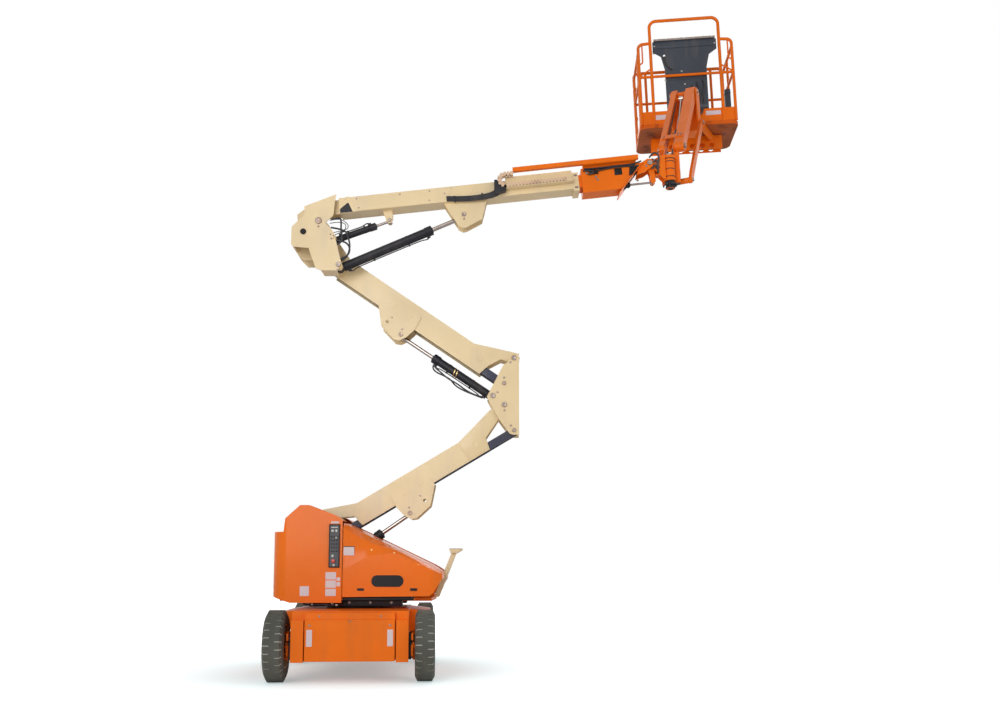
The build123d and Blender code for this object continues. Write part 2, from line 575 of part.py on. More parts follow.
CYLINDERS = {
    # name: (base, eye, barrel length, bore radius, rod radius, rod tail, middle plane)
    "lower_lift": (LOWER_CYLINDER_BASE, LOWER_EYE, 715.0, 42.0, 20.0, 360.0, 0.0),
    "upper_lift": (UPPER_BASE, UPPER_EYE, 740.0, 42.0, 20.0, 380.0, 0.0),
    "main_lift": (MAIN_BASE, MAIN_EYE, 1010.0, 46.0, 22.0, 250.0, BOOM_SIDE),
    "master": (MASTER_START, MASTER_END, 455.0, 33.0, 13.0, 100.0, BOOM_SIDE),
}
for name, (start, stop, barrel, bore, rod, tail, y) in CYLINDERS.items():
    length, angle = aim(start, stop)
    slim = name == "master"
    pieces = cylinder(length, barrel, bore, rod, tail, 34.0 if slim else 38.0, 64.0 if slim else 84.0,
                      40.0 if slim else 58.0)
    for piece, kind in zip(pieces, ("barrel", "rod")):
        keep(f"{name}_{kind}", place(start, angle, y) * piece)


# ---------------------------------------------------------------- uprights
def mid_upright():
    """Upright between the two risers: two plates joined by their pins and a back web."""
    fx, fz = UPRIGHT_FOOT
    ux, uz = UPPER_PIVOT
    bx, bz = UPPER_BASE
    ex, ez = FOOT_LINK_PIN
    right = ux + 52
    outline = [(right, uz + 52), (ux - 110, uz - 78 + 0), (bx - 62, bz - 12), (bx - 30, bz - 75), (fx - 55, fz - 148),
               (ex - 45, ez - 36), (ex - 10, ez - 46), (right, ez - 46)]
    outer = UPRIGHT_IN + UPRIGHT_PLATE
    body = both(plate(outline, UPRIGHT_IN, outer))
    pins = ((UPRIGHT_FOOT, PIN, RISER_HALF), (UPPER_PIVOT, PIN, RISER_HALF), (UPPER_BASE, PIN, 42),
            (FOOT_LINK_PIN, SMALL_PIN, LINK_IN + LINK_BAR), (UPPER_LINK_PIN, SMALL_PIN, LINK_IN + LINK_BAR))
    for (x, z), radius, inner in pins:
        body += drum(x, z, radius, -outer - 10, outer + 10)
        body += both(drum(x, z, radius + 12, inner + FIT, UPRIGHT_IN + 1))
    return body


def top_upright():
    """Tower head: two plates about the upper riser and a wider near plate beyond the main boom."""
    hx, hz = TOWER_HEAD

    def at(points):
        return [(hx + x, hz + z) for x, z in points]

    outer = UPRIGHT_IN + UPRIGHT_PLATE
    near_in = BOOM_SIDE - BOOM_HALF - NEAR_PLATE_GAP
    near_out = near_in - UPRIGHT_PLATE
    # near plate, the one that shows
    near = at([(170, 275), (146, 55), (70, -18), (156, -120), (240, -452), (194, -512), (37, -512), (-20, -490),
               (-95, -281), (-243, -266), (-272, -245), (-269, -62), (-138, 70), (-146, 150), (60, 232)])
    body = plate(near, near_in, near_out)
    # inner plates beside the riser
    inner = at([(62, 40), (40, 66), (-40, 66), (-200, -60), (-268, -62), (-268, -250), (-190, -330), (-60, -330),
                (-45, -250), (60, -60)])
    body += plate(inner, UPRIGHT_IN, outer)
    middle = at([(62, 40), (40, 66), (-40, 66), (-200, -60), (-268, -62), (-268, -250), (-190, -330), (-60, -330),
                 (5, -425), (233, -425), (156, -120)])
    body += plate(middle, -outer, -UPRIGHT_IN)
    # cheek of the lift cylinder's foot, which stands out past the riser posts when the tower is down
    cheek = at([(5, -405), (228, -405), (240, -452), (194, -512), (37, -512), (-5, -450)])
    body += plate(cheek, -CHEEK_OUT, -CHEEK_IN)
    body += plate(at([(5, -425), (233, -425), (228, -405), (5, -405)]), -CHEEK_OUT, -UPRIGHT_IN - 1)
    # pins across the riser, then pins across the main boom
    for (x, z), radius, hold in ((TOWER_HEAD, PIN, RISER_HALF), (HEAD_LINK_PIN, SMALL_PIN, LINK_IN + LINK_BAR)):
        body += drum(x, z, radius, -outer - 1, outer + 10)
        body += both(drum(x, z, radius + 12, hold + FIT, UPRIGHT_IN + 1))
    for (x, z), half_eye, inner_face in ((BOOM_PIN, 62.0, -outer), (MAIN_BASE, 42.0, -CHEEK_OUT),
                                         (MASTER_START, 32.0, -outer)):
        body += drum(x, z, PIN, near_out - 10, inner_face + 14)
        body += drum(x, z, PIN + 12, near_in - 1, BOOM_SIDE - half_eye - FIT)
        body += drum(x, z, PIN + 12, BOOM_SIDE + half_eye + FIT, inner_face + 1)
    body += drum(hx, hz, 30, near_out - 12, near_in)
    # rear web that ties the three plates together, and foot plate of the near side
    web = at([(-268, -245), (-250, -245), (-250, -155), (-268, -155)])
    body += plate(web, near_in - 1, outer)
    foot = at([(40, -512), (192, -512), (192, -500), (40, -500)])
    body += plate(foot, near_out + 1, -CHEEK_IN - 1)
    return body


keep("mid_upright", mid_upright())
keep("top_upright", top_upright())

# ---------------------------------------------------------------- main boom
boom_at = place(BOOM_PIN, BOOM_ANGLE, BOOM_SIDE)


def main_boom():
    """Base section of the telescoping boom in its own frame, from its pivot at the origin."""
    half = BOOM_HALF
    wall = BOOM_WALL
    body = box(BOOM_REAR, BOOM_FRONT, -half, half, BOOM_BOTTOM, BOOM_TOP)
    body -= box(BOOM_REAR + wall, BOOM_FRONT + 1, -half + wall, half - wall, BOOM_BOTTOM + wall, BOOM_TOP - wall)
    # lugs down to the pivot
    lug = plate([(-58, -20), (-40, -45), (0, -58), (40, -45), (58, -10), (70, 170), (BOOM_REAR + 60, 170),
                 (BOOM_REAR + 60, BOOM_TOP - 4), (120, BOOM_TOP - 4), (-58, 210)], 46, 60)
    lug -= drum(0, 0, PIN + FIT, 0, 200)
    body += both(lug)
    body += box(150, BOOM_REAR + 2, -47, 47, BOOM_TOP - 14, BOOM_TOP - 4)
    # collar and wear-pad ring at the front
    collar = box(BOOM_FRONT - 60, BOOM_FRONT, -half - 1, half + 14, BOOM_BOTTOM - 22, BOOM_TOP + 10)
    fly_half = half - wall - FLY_CLEARANCE
    fly_low, fly_high = BOOM_BOTTOM + wall + FLY_CLEARANCE, BOOM_TOP - wall - FLY_CLEARANCE
    body += collar
    body -= box(BOOM_FRONT - 61, BOOM_FRONT + 1, -fly_half - FIT, fly_half + FIT, fly_low - FIT, fly_high + FIT)
    # lift cylinder bracket and master cylinder ear
    ex, ez = BOOM_EYE
    wing = plate([(ex - 195, BOOM_BOTTOM + 6), (ex - 67, ez - 115), (ex - 26, ez - 141), (ex + 10, ez - 138),
                  (ex + 177, ez - 69), (ex + 251, BOOM_BOTTOM + 6)], 60, 60 + PLATE)
    wing += drum(ex, ez, 30, 34, 61)
    wing += drum(ex, ez, SMALL_PIN, 60 + PLATE, 60 + PLATE + 10)
    body += both(wing)
    mx, mz = MASTER_EYE
    ear = plate([(mx - 60, BOOM_BOTTOM + 2), (mx - 30, mz - 10), (mx - 10, mz - 30), (mx + 16, mz - 28),
                 (mx + 30, mz), (mx + 40, BOOM_BOTTOM + 2)], 26, 38)
    body += both(ear)
    # side cover plates at the rear
    cover = plate([(467, BOOM_TOP - 4), (1525, BOOM_TOP - 2), (1466, BOOM_BOTTOM), (526, BOOM_BOTTOM + 4)],
                  half - 1, half + 8)
    body += mirror(cover, about=Plane.XZ)
    return body


def cable_tray():
    """Open tray on the near side of the boom that holds the cable carrier."""
    y1 = -BOOM_HALF - FIT
    y0 = y1 - 78
    z0, z1 = TRAY_FLOOR, BOOM_TOP + 35
    x0, x1 = 2075.0, BOOM_FRONT - 62
    body = box(x0, x1, y0, y1, z0, z1) - box(x0 - 1, x1 - 8, y0 - 1, y1 - 5, z0 + 5, z1 + 1)
    body += box(x0, x1, y0, y0 + 5, z0, z0 + 30)
    return body


def cable_carrier():
    """Cable carrier: lower run in the tray, a half-round bend at the rear, and a short upper run."""
    y0, y1 = -BOOM_HALF - 70, -BOOM_HALF - 12
    thick = 30.0
    low = TRAY_FLOOR + 5 + FIT
    bend_x, bend_r = 2075.0, 82.0
    high = low + 2 * bend_r
    body = box(bend_x, BOOM_FRONT - 130, y0, y1, low, low + thick)
    ring = Pos(bend_x, (y0 + y1) / 2, low + bend_r) * Rot(90, 0, 0) * (
        Cylinder(bend_r, y1 - y0) - Cylinder(bend_r - thick, y1 - y0 + 2))
    ring -= box(bend_x, bend_x + 200, y0 - 5, y1 + 5, 0, 800)
    body += ring
    body += box(bend_x - 1, bend_x + 70, y0, y1, high - thick, high)
    return body


def fly_boom():
    """Fly section: inner tube, nose weldment with slanted end flange, and the rail that drags the carrier."""
    wall = BOOM_WALL
    half = BOOM_HALF - wall - FLY_CLEARANCE
    low, high = BOOM_BOTTOM + wall + FLY_CLEARANCE, BOOM_TOP - wall - FLY_CLEARANCE
    body = box(FLY_REAR, FLY_NOSE_REAR + 60, -half, half, low, high)
    body -= box(FLY_REAR - 1, FLY_NOSE_REAR + 61, -half + 7, half - 7, low + 7, high - 7)
    pad = FLY_CLEARANCE - FIT
    body += (box(FLY_REAR, FLY_REAR + 80, -half - pad, half + pad, low - pad, high + pad)
             - box(FLY_REAR - 1, FLY_REAR + 81, -half + 1, half - 1, low + 1, high - 1))
    nose_half = BOOM_HALF - 2
    nose_low, nose_high = BOOM_BOTTOM - 50, BOOM_TOP + 44
    nose = plate([(FLY_NOSE_REAR, nose_low), (FLY_NOSE_FOOT, nose_low), (FLY_NOSE_TOP, nose_high),
                  (FLY_NOSE_REAR, nose_high)], -nose_half, nose_half)
    nose -= plate([(FLY_NOSE_REAR - 1, nose_low + 8), (FLY_NOSE_FOOT - 14, nose_low + 8),
                   (FLY_NOSE_TOP - 16, nose_high - 8), (FLY_NOSE_REAR - 1, nose_high - 8)],
                  -nose_half + 8, nose_half - 8)
    nose += (box(FLY_NOSE_REAR, FLY_NOSE_REAR + 10, -nose_half + 1, nose_half - 1, nose_low + 1, nose_high - 1)
             - box(FLY_NOSE_REAR - 1, FLY_NOSE_REAR + 11, -half + 1, half - 1, low + 1, high - 1))
    nose -= box(3190, 3262, -nose_half - 1, -nose_half + 20, 262, 326)
    body += nose
    # slanted end flange, wider than the nose
    dx, dz = FLY_NOSE_TOP - FLY_NOSE_FOOT, nose_high - nose_low
    flange = plate([(FLY_NOSE_FOOT - 0.16 * dx, nose_low - 0.16 * dz), (FLY_NOSE_TOP, nose_high),
                    (FLY_NOSE_TOP + 10, nose_high), (FLY_NOSE_FOOT + 10 - 0.16 * dx, nose_low - 0.16 * dz)],
                   -nose_half - 12, nose_half + 12)
    body += flange
    # fork that carries the level pivot
    px, pz = LEVEL_PIVOT
    fork = plate([(FLY_NOSE_TOP - 60, pz - 110), (FLY_NOSE_TOP - 20, pz + 2), (px - 20, pz + 46), (px + 20, pz + 40),
                  (px + 44, pz), (px + 20, pz - 42), (px - 60, pz - 90)], 62, 76)
    body += both(fork)
    body += drum(px, pz, PIN, -84, 84)
    # carrier rail on the near side
    rail_y = -BOOM_HALF - 62
    rail_z = BOOM_TOP + 66
    body += box(2160, FLY_NOSE_TOP - 40, rail_y, rail_y + 48, rail_z, rail_z + 42)
    body += box(FLY_NOSE_REAR + 20, FLY_NOSE_TOP - 60, rail_y + 4, -nose_half + 12, rail_z - 6, rail_z + 34)
    body += box(FLY_NOSE_REAR + 20, FLY_NOSE_TOP - 60, -nose_half + 1, -nose_half + 20, nose_high - 4, rail_z + 20)
    # window in the end flange for the slave cylinder and its lever
    body -= box(FLY_NOSE_FOOT - 30, FLY_NOSE_TOP + 12, -50, 50, nose_low + 18, nose_high - 36)
    # ears of the slave cylinder on the floor of the nose
    sx, sz = slave_start()
    body += both(plate([(sx - 60, nose_low + 2), (sx - 22, sz + 22), (sx + 22, sz + 22), (sx + 60, nose_low + 2)],
                       24, 34))
    body += drum(sx, sz, SLAVE_PIN, -34, 34)
    return body


def slave_start():
    return (FLY_NOSE_FOOT - 235.0, LEVEL_PIVOT[1] - SLAVE_DROP)


keep("main_boom", boom_at * main_boom())
keep("cable_tray", boom_at * cable_tray())
keep("cable_carrier", boom_at * cable_carrier())
keep("fly_boom", boom_at * fly_boom())

# ---------------------------------------------------------------- jib mount, in a frame at the level pivot
level_at = Pos(LEVEL_PIN[0], BOOM_SIDE, LEVEL_PIN[1]) * Rot(0, -LEVEL_ERROR, 0)
SLAVE_EYE = (30.0, -180.0)              # from the level pivot
HOUSING_RADIUS = 56.0
HOUSING_TOP = 60.0
HOUSING_BOTTOM = -150.0


def jib_mount():
    """Bracket from the level pivot to the upright housing of the jib's rotary actuator."""
    axis = JIB_AXIS_AHEAD
    body = plate([(-30, -20), (-24, 26), (0, 38), (24, 30), (120, 84), (axis - 48, 84), (axis - 48, -165),
                  (axis - 70, -165), (60, -75), (0, -38)], 40, 54)
    for x, z in ((70, 12), (84, -34)):
        body -= Pos(x, 47, z) * Rot(0, 25, 0) * Box(46, 30, 15)
    # lever of the slave cylinder, inside the plates
    x, z = SLAVE_EYE
    body += plate([(-32, -8), (-20, 28), (14, 30), (34, 6), (x + 24, z + 70), (x + 28, z - 4), (x + 6, z - 26),
                   (x - 20, z - 14), (x - 30, z + 70)], 26, 41)
    body -= drum(0, 0, PIN + FIT, 0, 200)
    body += drum(x, z, SLAVE_PIN, 22, 27)
    body = both(body)
    body += box(60, axis - 40, -41, 41, HOUSING_BOTTOM + 30, HOUSING_BOTTOM + 42)
    body += box(60, axis - 40, -41, 41, HOUSING_TOP - 42, HOUSING_TOP - 30)
    height = HOUSING_TOP - HOUSING_BOTTOM
    body += Pos(axis, 0, HOUSING_TOP - height / 2) * Cylinder(HOUSING_RADIUS, height)
    return body


def slave():
    """Slave cylinder of the platform levelling, in the boom's frame."""
    start = slave_start()
    step = turned(SLAVE_EYE, LEVEL_ERROR - BOOM_ANGLE)
    stop = shifted(LEVEL_PIVOT, step)
    length, angle = aim(start, stop)
    barrel, rod = cylinder(length, 330.0, 22.0, 11.0, 245.0, 24.0, 46.0, 34.0, SLAVE_PIN)
    return [boom_at * place(start, angle) * piece for piece in (barrel, rod)]


keep("jib_mount", level_at * jib_mount())
slave_barrel, slave_rod = slave()
keep("slave_barrel", slave_barrel)
keep("slave_rod", slave_rod)

# ---------------------------------------------------------------- jib, in a frame at its swing axis
swivel_at = level_at * Pos(JIB_AXIS_AHEAD, 0, 0) * Rot(0, 0, JIB_SWING)
JIB_FOOT = (JIB_FOOT_AHEAD, JIB_FOOT_UP)
JIB_HEAD = shifted(JIB_FOOT, turned((JIB_LENGTH, 0), JIB_ANGLE))
LINK_FOOT = (JIB_FOOT_AHEAD, JIB_FOOT_UP - JIB_LINK_DROP)
LINK_HEAD = shifted(JIB_HEAD, (0, -JIB_LINK_DROP))
JIB_EYE_AT = 1190.0                     # jib cylinder's upper eye, along the jib
FRAME_LEFT = (70.0, 130.0)              # both side tubes, across the jib
FRAME_RIGHT = (-130.0, -30.0)
FRAME_DEPTH = 110.0
JIB_WALL = 6.0
FRAME_MIDDLE = (FRAME_LEFT[0] + FRAME_RIGHT[1]) / 2
JIB_LINK_IN = -157.0
JIB_LINK_OUT = -187.0
JIB_CROSSBAR = 27.0


def jib_swivel():
    """Swivel about the actuator housing, with lugs for the jib frame, its link and its cylinder."""
    cap = 28.0
    body = Pos(0, 0, HOUSING_TOP + FIT + cap / 2) * Cylinder(HOUSING_RADIUS + 6, cap)
    body += Pos(0, 0, HOUSING_BOTTOM - FIT - cap / 2) * Cylinder(HOUSING_RADIUS + 6, cap)
    low, high = HOUSING_BOTTOM - FIT - cap, HOUSING_TOP + FIT + cap
    body += box(0, 84, -34, 34, high - cap, high)
    body += box(0, 84, -34, 34, low, low + cap)
    body += box(62, 84, -95, 95, low, high + 60)
    fx, fz = JIB_FOOT
    lx, lz = LINK_FOOT
    lug = [(62, low), (150, low + 6), (lx + 34, lz - 24), (lx + 38, lz + 12), (lx + 10, lz + 90), (fx + 42, fz - 14),
           (fx + 34, fz + 30), (fx, fz + 42), (fx - 34, fz + 26), (62, high + 60)]
    body += plate(lug, FRAME_RIGHT[1] + 2, FRAME_RIGHT[1] + 14)
    body += plate(lug, FRAME_LEFT[0] - 14, FRAME_LEFT[0] - 2)
    body += drum(fx, fz, 20, FRAME_RIGHT[0] - 8, FRAME_RIGHT[1] + 13)
    body += drum(fx, fz, 20, FRAME_LEFT[0] - 13, FRAME_LEFT[1] + 8)
    body += drum(lx, lz, SMALL_PIN, JIB_LINK_OUT - 8, FRAME_LEFT[0] - 2)
    body += drum(lx, lz, 30, JIB_LINK_IN + FIT, FRAME_RIGHT[1] + 3)
    # swing motor under the housing
    body += Pos(0, 0, low - 38) * Cylinder(44, 77)
    return body


def jib_frame():
    """Jib frame from its foot pivot: two box tubes with a hub at each end and a crossbar at the head."""
    deep = FRAME_DEPTH / 2
    body = None
    for y0, y1 in (FRAME_LEFT, FRAME_RIGHT):
        tube = box(0, JIB_LENGTH, y0, y1, -deep, deep)
        tube += drum(0, 0, deep, y0, y1)
        tube += drum(JIB_LENGTH, 0, deep, y0, y1)
        tube -= drum(0, 0, 20 + FIT, y0 - 1, y1 + 1)
        tube -= box(deep + 15, JIB_LENGTH - deep - 15, y0 + JIB_WALL, y1 - JIB_WALL, -deep + JIB_WALL, deep - JIB_WALL)
        tube -= box(deep + 40, deep + 110, y0 + 2 * JIB_WALL, y1 - 2 * JIB_WALL, -deep - 1, 0)
        body = tube if body is None else body + tube
    body += drum(JIB_LENGTH, 0, JIB_CROSSBAR, FRAME_RIGHT[0], FRAME_LEFT[1])
    body -= drum(JIB_LENGTH, 0, 20 + FIT, FRAME_RIGHT[0] - 1, FRAME_LEFT[1] + 1)
    body += box(120, 190, FRAME_RIGHT[0] + 15, FRAME_LEFT[1] - 15, deep - 1, deep + 10)
    for y0, y1 in ((FRAME_LEFT[0] + 1, FRAME_MIDDLE + 26), (FRAME_RIGHT[1] - 1, FRAME_MIDDLE - 26)):
        body += drum(JIB_EYE_AT, 0, SMALL_PIN, y0, y1)
    return body


def jib_link():
    """Lower link of the jib's parallelogram, beside the frame."""
    bar = box(0, JIB_LENGTH, JIB_LINK_OUT + 4, JIB_LINK_IN - 4, -30, 30)
    for x in (0, JIB_LENGTH):
        bar += drum(x, 0, 36, JIB_LINK_OUT, JIB_LINK_IN)
        bar -= drum(x, 0, SMALL_PIN + FIT, JIB_LINK_OUT - 1, JIB_LINK_IN + 1)
    return bar


def jib_head():
    """Yoke at the jib's head, which stays level, with the housing of the platform rotator."""
    hx, hz = JIB_HEAD
    lx, lz = LINK_HEAD
    axis = hx + ROTATOR_AHEAD
    side = [(hx - 44, hz), (hx - 30, hz + 32), (hx, hz + 44), (hx + 128, hz + 30), (hx + 128, lz - 30), (lx, lz - 44),
            (lx - 32, lz - 30), (lx - 44, lz)]
    out = FRAME_LEFT[1] + 6
    body = plate(side, out, out + 14) + plate(side, -out, -out - 14)
    body += box(hx + 108, hx + 128, -out - 14, out + 14, lz - 30, hz + 30)
    body += drum(hx, hz, 20, -out - 8, out + 22)
    body += drum(lx, lz, SMALL_PIN, JIB_LINK_OUT - 8, -out)
    body += drum(lx, lz, 28, JIB_LINK_IN + FIT, -out - 13)
    body += box(hx + 127, axis, -58, 58, lz + 30, hz - 60)
    body += Pos(axis, 0, (lz + hz) / 2 - 15) * Cylinder(70, hz - lz - 90)
    return body


jib_at = swivel_at * place(JIB_FOOT, JIB_ANGLE)
keep("jib_swivel", swivel_at * jib_swivel())
keep("jib_frame", jib_at * jib_frame())
keep("jib_link", swivel_at * place(LINK_FOOT, JIB_ANGLE) * jib_link())
jib_eye = shifted(JIB_FOOT, turned((JIB_EYE_AT, 0), JIB_ANGLE))
length, angle = aim(LINK_FOOT, jib_eye)
pieces = cylinder(length, 890.0, 30.0, 15.0, 620.0, 32.0, 60.0, 46.0, SMALL_PIN)
for piece, kind in zip(pieces, ("barrel", "rod")):
    keep(f"jib_cylinder_{kind}", swivel_at * place(LINK_FOOT, angle, FRAME_MIDDLE) * piece)
keep("jib_head", swivel_at * jib_head())

# ---------------------------------------------------------------- platform, in a frame at its rotator
platform_at = swivel_at * Pos(JIB_HEAD[0] + ROTATOR_AHEAD, 0, 0) * Rot(0, 0, PLATFORM_TURN)
FLOOR = JIB_HEAD[1] - FLOOR_BELOW_JIB_HEAD
NEAR_X = PLATFORM_AHEAD
FAR_X = PLATFORM_AHEAD + PLATFORM_DEPTH
RIGHT_Y = -PLATFORM_WIDTH / 2 - PLATFORM_SIDE
LEFT_Y = PLATFORM_WIDTH / 2 - PLATFORM_SIDE
MIDDLE_Y = -PLATFORM_SIDE
FLOOR_DEPTH = 46.0
TREAD_EDGE = 62.0
TREAD_RISE = 3.0
CHANNEL_DEPTH = 170.0
CHANNEL_HOLE = 33.0
TOE_BOARD = 165.0
HOOP_HALF = 415.0
HOOP_HEIGHT = 1318.0
MID_RAIL = 610.0
MID_RAIL_SET = 2.8          # the near mid rail stands in by this, towards the console


def platform_mount():
    """Rotator yoke, arms under the floor and the cross channel with lightening holes."""
    cap = 22.0
    low_cap = LINK_HEAD[1] + 30 - FIT - cap
    high_cap = JIB_HEAD[1] - 60 + FIT
    body = box(90, 112, -110, 110, low_cap, high_cap + cap)
    for z in (low_cap, high_cap):
        body += box(0, 91, -62, 62, z, z + cap)
        body += Pos(0, 0, z + cap / 2) * Cylinder(74, cap)
    arm_z = FLOOR - FLOOR_DEPTH - 70
    channel_x = NEAR_X + PLATFORM_DEPTH / 2
    for side in (-1, 1):
        start, stop = (104, side * 82), (channel_x - 40, MIDDLE_Y + side * 320)
        run, turn = aim(start, stop)
        body += Pos(start[0], start[1], 0) * Rot(0, 0, turn) * box(0, run, -25, 25, arm_z, arm_z + 60)
    half = 430.0
    low, high = FLOOR - FLOOR_DEPTH - CHANNEL_DEPTH, FLOOR - FLOOR_DEPTH - FIT
    channel = box(channel_x - 60, channel_x + 60, MIDDLE_Y - half, MIDDLE_Y + half, low, high)
    channel -= box(channel_x - 54, channel_x + 54, MIDDLE_Y - half - 1, MIDDLE_Y + half + 1, low - 1, high - 6)
    for y in (-306, -187, -66, 66, 187, 306):
        channel -= Pos(channel_x, MIDDLE_Y + y, low + 48) * Rot(0, 90, 0) * Cylinder(CHANNEL_HOLE, 200)
    return body + channel


def platform_floor():
    """Floor sheet on a rounded frame with cross beams."""
    outline = Pos((NEAR_X + FAR_X) / 2, MIDDLE_Y, FLOOR - FLOOR_DEPTH) * RectangleRounded(
        PLATFORM_DEPTH, PLATFORM_WIDTH, 95)
    inside = Pos((NEAR_X + FAR_X) / 2, MIDDLE_Y, FLOOR - FLOOR_DEPTH) * RectangleRounded(
        PLATFORM_DEPTH - 70, PLATFORM_WIDTH - 70, 62)
    body = extrude(outline, amount=FLOOR_DEPTH) - extrude(inside, amount=FLOOR_DEPTH - 5)
    for x in (0.2, 0.44, 0.56, 0.8):
        at = NEAR_X + PLATFORM_DEPTH * x
        body += box(at - 18, at + 18, RIGHT_Y + 20, LEFT_Y - 20, FLOOR - FLOOR_DEPTH, FLOOR - 4)
    # raised tread sheet, clear of posts and toe boards
    body += box(NEAR_X + TREAD_EDGE, FAR_X - TREAD_EDGE, RIGHT_Y + TREAD_EDGE, LEFT_Y - TREAD_EDGE, FLOOR - 1,
                FLOOR + TREAD_RISE)
    return body


def rod_between(a, b, radius):
    """A straight round bar between two points."""
    path = Vector(*b) - Vector(*a)
    plane = Plane(origin=a, z_dir=path)
    return extrude(plane * Circle(radius), amount=path.length)


def bent(points, radius, corner):
    """A bent tube through points, with one bend radius."""
    path = FilletPolyline(*points, radius=corner)
    start = Plane(origin=path @ 0, z_dir=path % 0)
    return sweep(start * Circle(radius), path=path)


RAIL_TOP = FLOOR + RAIL_HEIGHT - RAIL_TUBE
POST_FOOT = FLOOR + 2


def rail_near():
    """Rail on the jib's side: corner posts bent into the top rail, the tall hoop, the mid rail, the toe board."""
    x = NEAR_X + RAIL_TUBE
    right, left = RIGHT_Y + RAIL_TUBE + 8, LEFT_Y - RAIL_TUBE - 8
    legs = (MIDDLE_Y - HOOP_HALF, MIDDLE_Y + HOOP_HALF)
    body = bent([(x, legs[0], FLOOR + FIT), (x, legs[0], FLOOR + HOOP_HEIGHT), (x, legs[1], FLOOR + HOOP_HEIGHT),
                 (x, legs[1], FLOOR + FIT)], RAIL_TUBE, 85)
    for outer, leg in ((right, legs[0]), (left, legs[1])):
        body += bent([(x, outer, FLOOR + FIT), (x, outer, RAIL_TOP), (x, leg, RAIL_TOP + 12)], CORNER_TUBE, 60)
        inner = outer + (48 if outer < leg else -48)
        body += bent([(x, inner, RAIL_TOP), (x, inner, RAIL_TOP - 230), (x, outer, RAIL_TOP - 262)], 9, 22)
        body += rod_between((x, outer, MID_RAIL + FLOOR + 10), (x, leg, MID_RAIL + FLOOR + 105), 9)
    inset = x + MID_RAIL_SET
    body += rod_between((inset, right, FLOOR + MID_RAIL), (inset, left, FLOOR + MID_RAIL), MID_TUBE)
    body += box(x - 3, x + 3, right, left, FLOOR + FIT, FLOOR + TOE_BOARD)
    return body


def rail_far():
    """Rail on the far side: corner posts bent into the top rail, two posts, mid rail and toe board."""
    x = FAR_X - RAIL_TUBE
    right, left = RIGHT_Y + RAIL_TUBE + 8, LEFT_Y - RAIL_TUBE - 8
    body = bent([(x, right, FLOOR + FIT), (x, right, RAIL_TOP), (x, left, RAIL_TOP), (x, left, FLOOR + FIT)],
                RAIL_TUBE, 60)
    for y in (MIDDLE_Y - HOOP_HALF, MIDDLE_Y + HOOP_HALF):
        body += rod_between((x, y, FLOOR + FIT), (x, y, RAIL_TOP), SIDE_TUBE)
    body += rod_between((x, right, FLOOR + MID_RAIL), (x, left, FLOOR + MID_RAIL), MID_TUBE)
    body += box(x - 3, x + 3, right, left, FLOOR + FIT, FLOOR + TOE_BOARD)
    return body


GATE_POST_X = NEAR_X + 2 * RAIL_TUBE + 95
GATE_HINGE = (FAR_X - 2 * RAIL_TUBE - 24.0, LEFT_Y - RAIL_TUBE - 8)
GATE_BAR = RAIL_TUBE - 5
GATE_LUGS = (400.0, 800.0)              # heights of the hinge lugs above the floor


def side_rails():
    """Rails at both ends: a full one on the right, and on the left a post and short rails beside the gate."""
    x0 = NEAR_X + RAIL_TUBE
    x1 = FAR_X - RAIL_TUBE
    y = RIGHT_Y + RAIL_TUBE + 8
    right = rod_between((x0, y, RAIL_TOP - 90), (x1, y, RAIL_TOP - 90), SIDE_TUBE)
    right += rod_between((x0, y, FLOOR + MID_RAIL), (x1, y, FLOOR + MID_RAIL), MID_TUBE)
    right += box(x0, x1, y - 3, y + 3, FLOOR + FIT, FLOOR + TOE_BOARD)
    middle = (x0 + x1) / 2
    right += rod_between((middle, y, FLOOR + FIT), (middle, y, RAIL_TOP - 90), POST_TUBE)
    y = LEFT_Y - RAIL_TUBE - 8
    post = bent([(GATE_POST_X, y, FLOOR + FIT), (GATE_POST_X, y, RAIL_TOP - 90), (x0, y, RAIL_TOP - 90)],
                SIDE_TUBE, 40)
    post += rod_between((x0, y, FLOOR + MID_RAIL), (GATE_POST_X, y, FLOOR + MID_RAIL), MID_TUBE)
    post += box(x0, GATE_POST_X, y - 3, y + 3, FLOOR + FIT, FLOOR + TOE_BOARD)
    for height in GATE_LUGS:
        z = FLOOR + height
        lug = box(GATE_HINGE[0] - 20, FAR_X - RAIL_TUBE, y - 20, y + 20, z - 12, z + 12)
        post += lug - Pos(GATE_HINGE[0], y, z) * Cylinder(GATE_BAR + FIT, 30)
    return right + post




def gate():
    """Side gate, hinged at the far corner post, with top and mid rail and toe board."""
    hx, y = GATE_HINGE
    x0 = GATE_POST_X + RAIL_TUBE + 6
    high, low = RAIL_TOP - 90, FLOOR + 40
    body = bent([(x0 + 16, y, low), (x0 + 16, y, high), (hx, y, high)], RAIL_TUBE - 3, 50)
    body += rod_between((hx, y, low), (hx, y, high + RAIL_TUBE - 3), GATE_BAR)
    body += rod_between((x0 + 16, y, FLOOR + MID_RAIL), (hx, y, FLOOR + MID_RAIL), RAIL_TUBE - 4)
    body += box(x0 + 16, hx, y - 3, y + 3, low, FLOOR + TOE_BOARD)
    return body


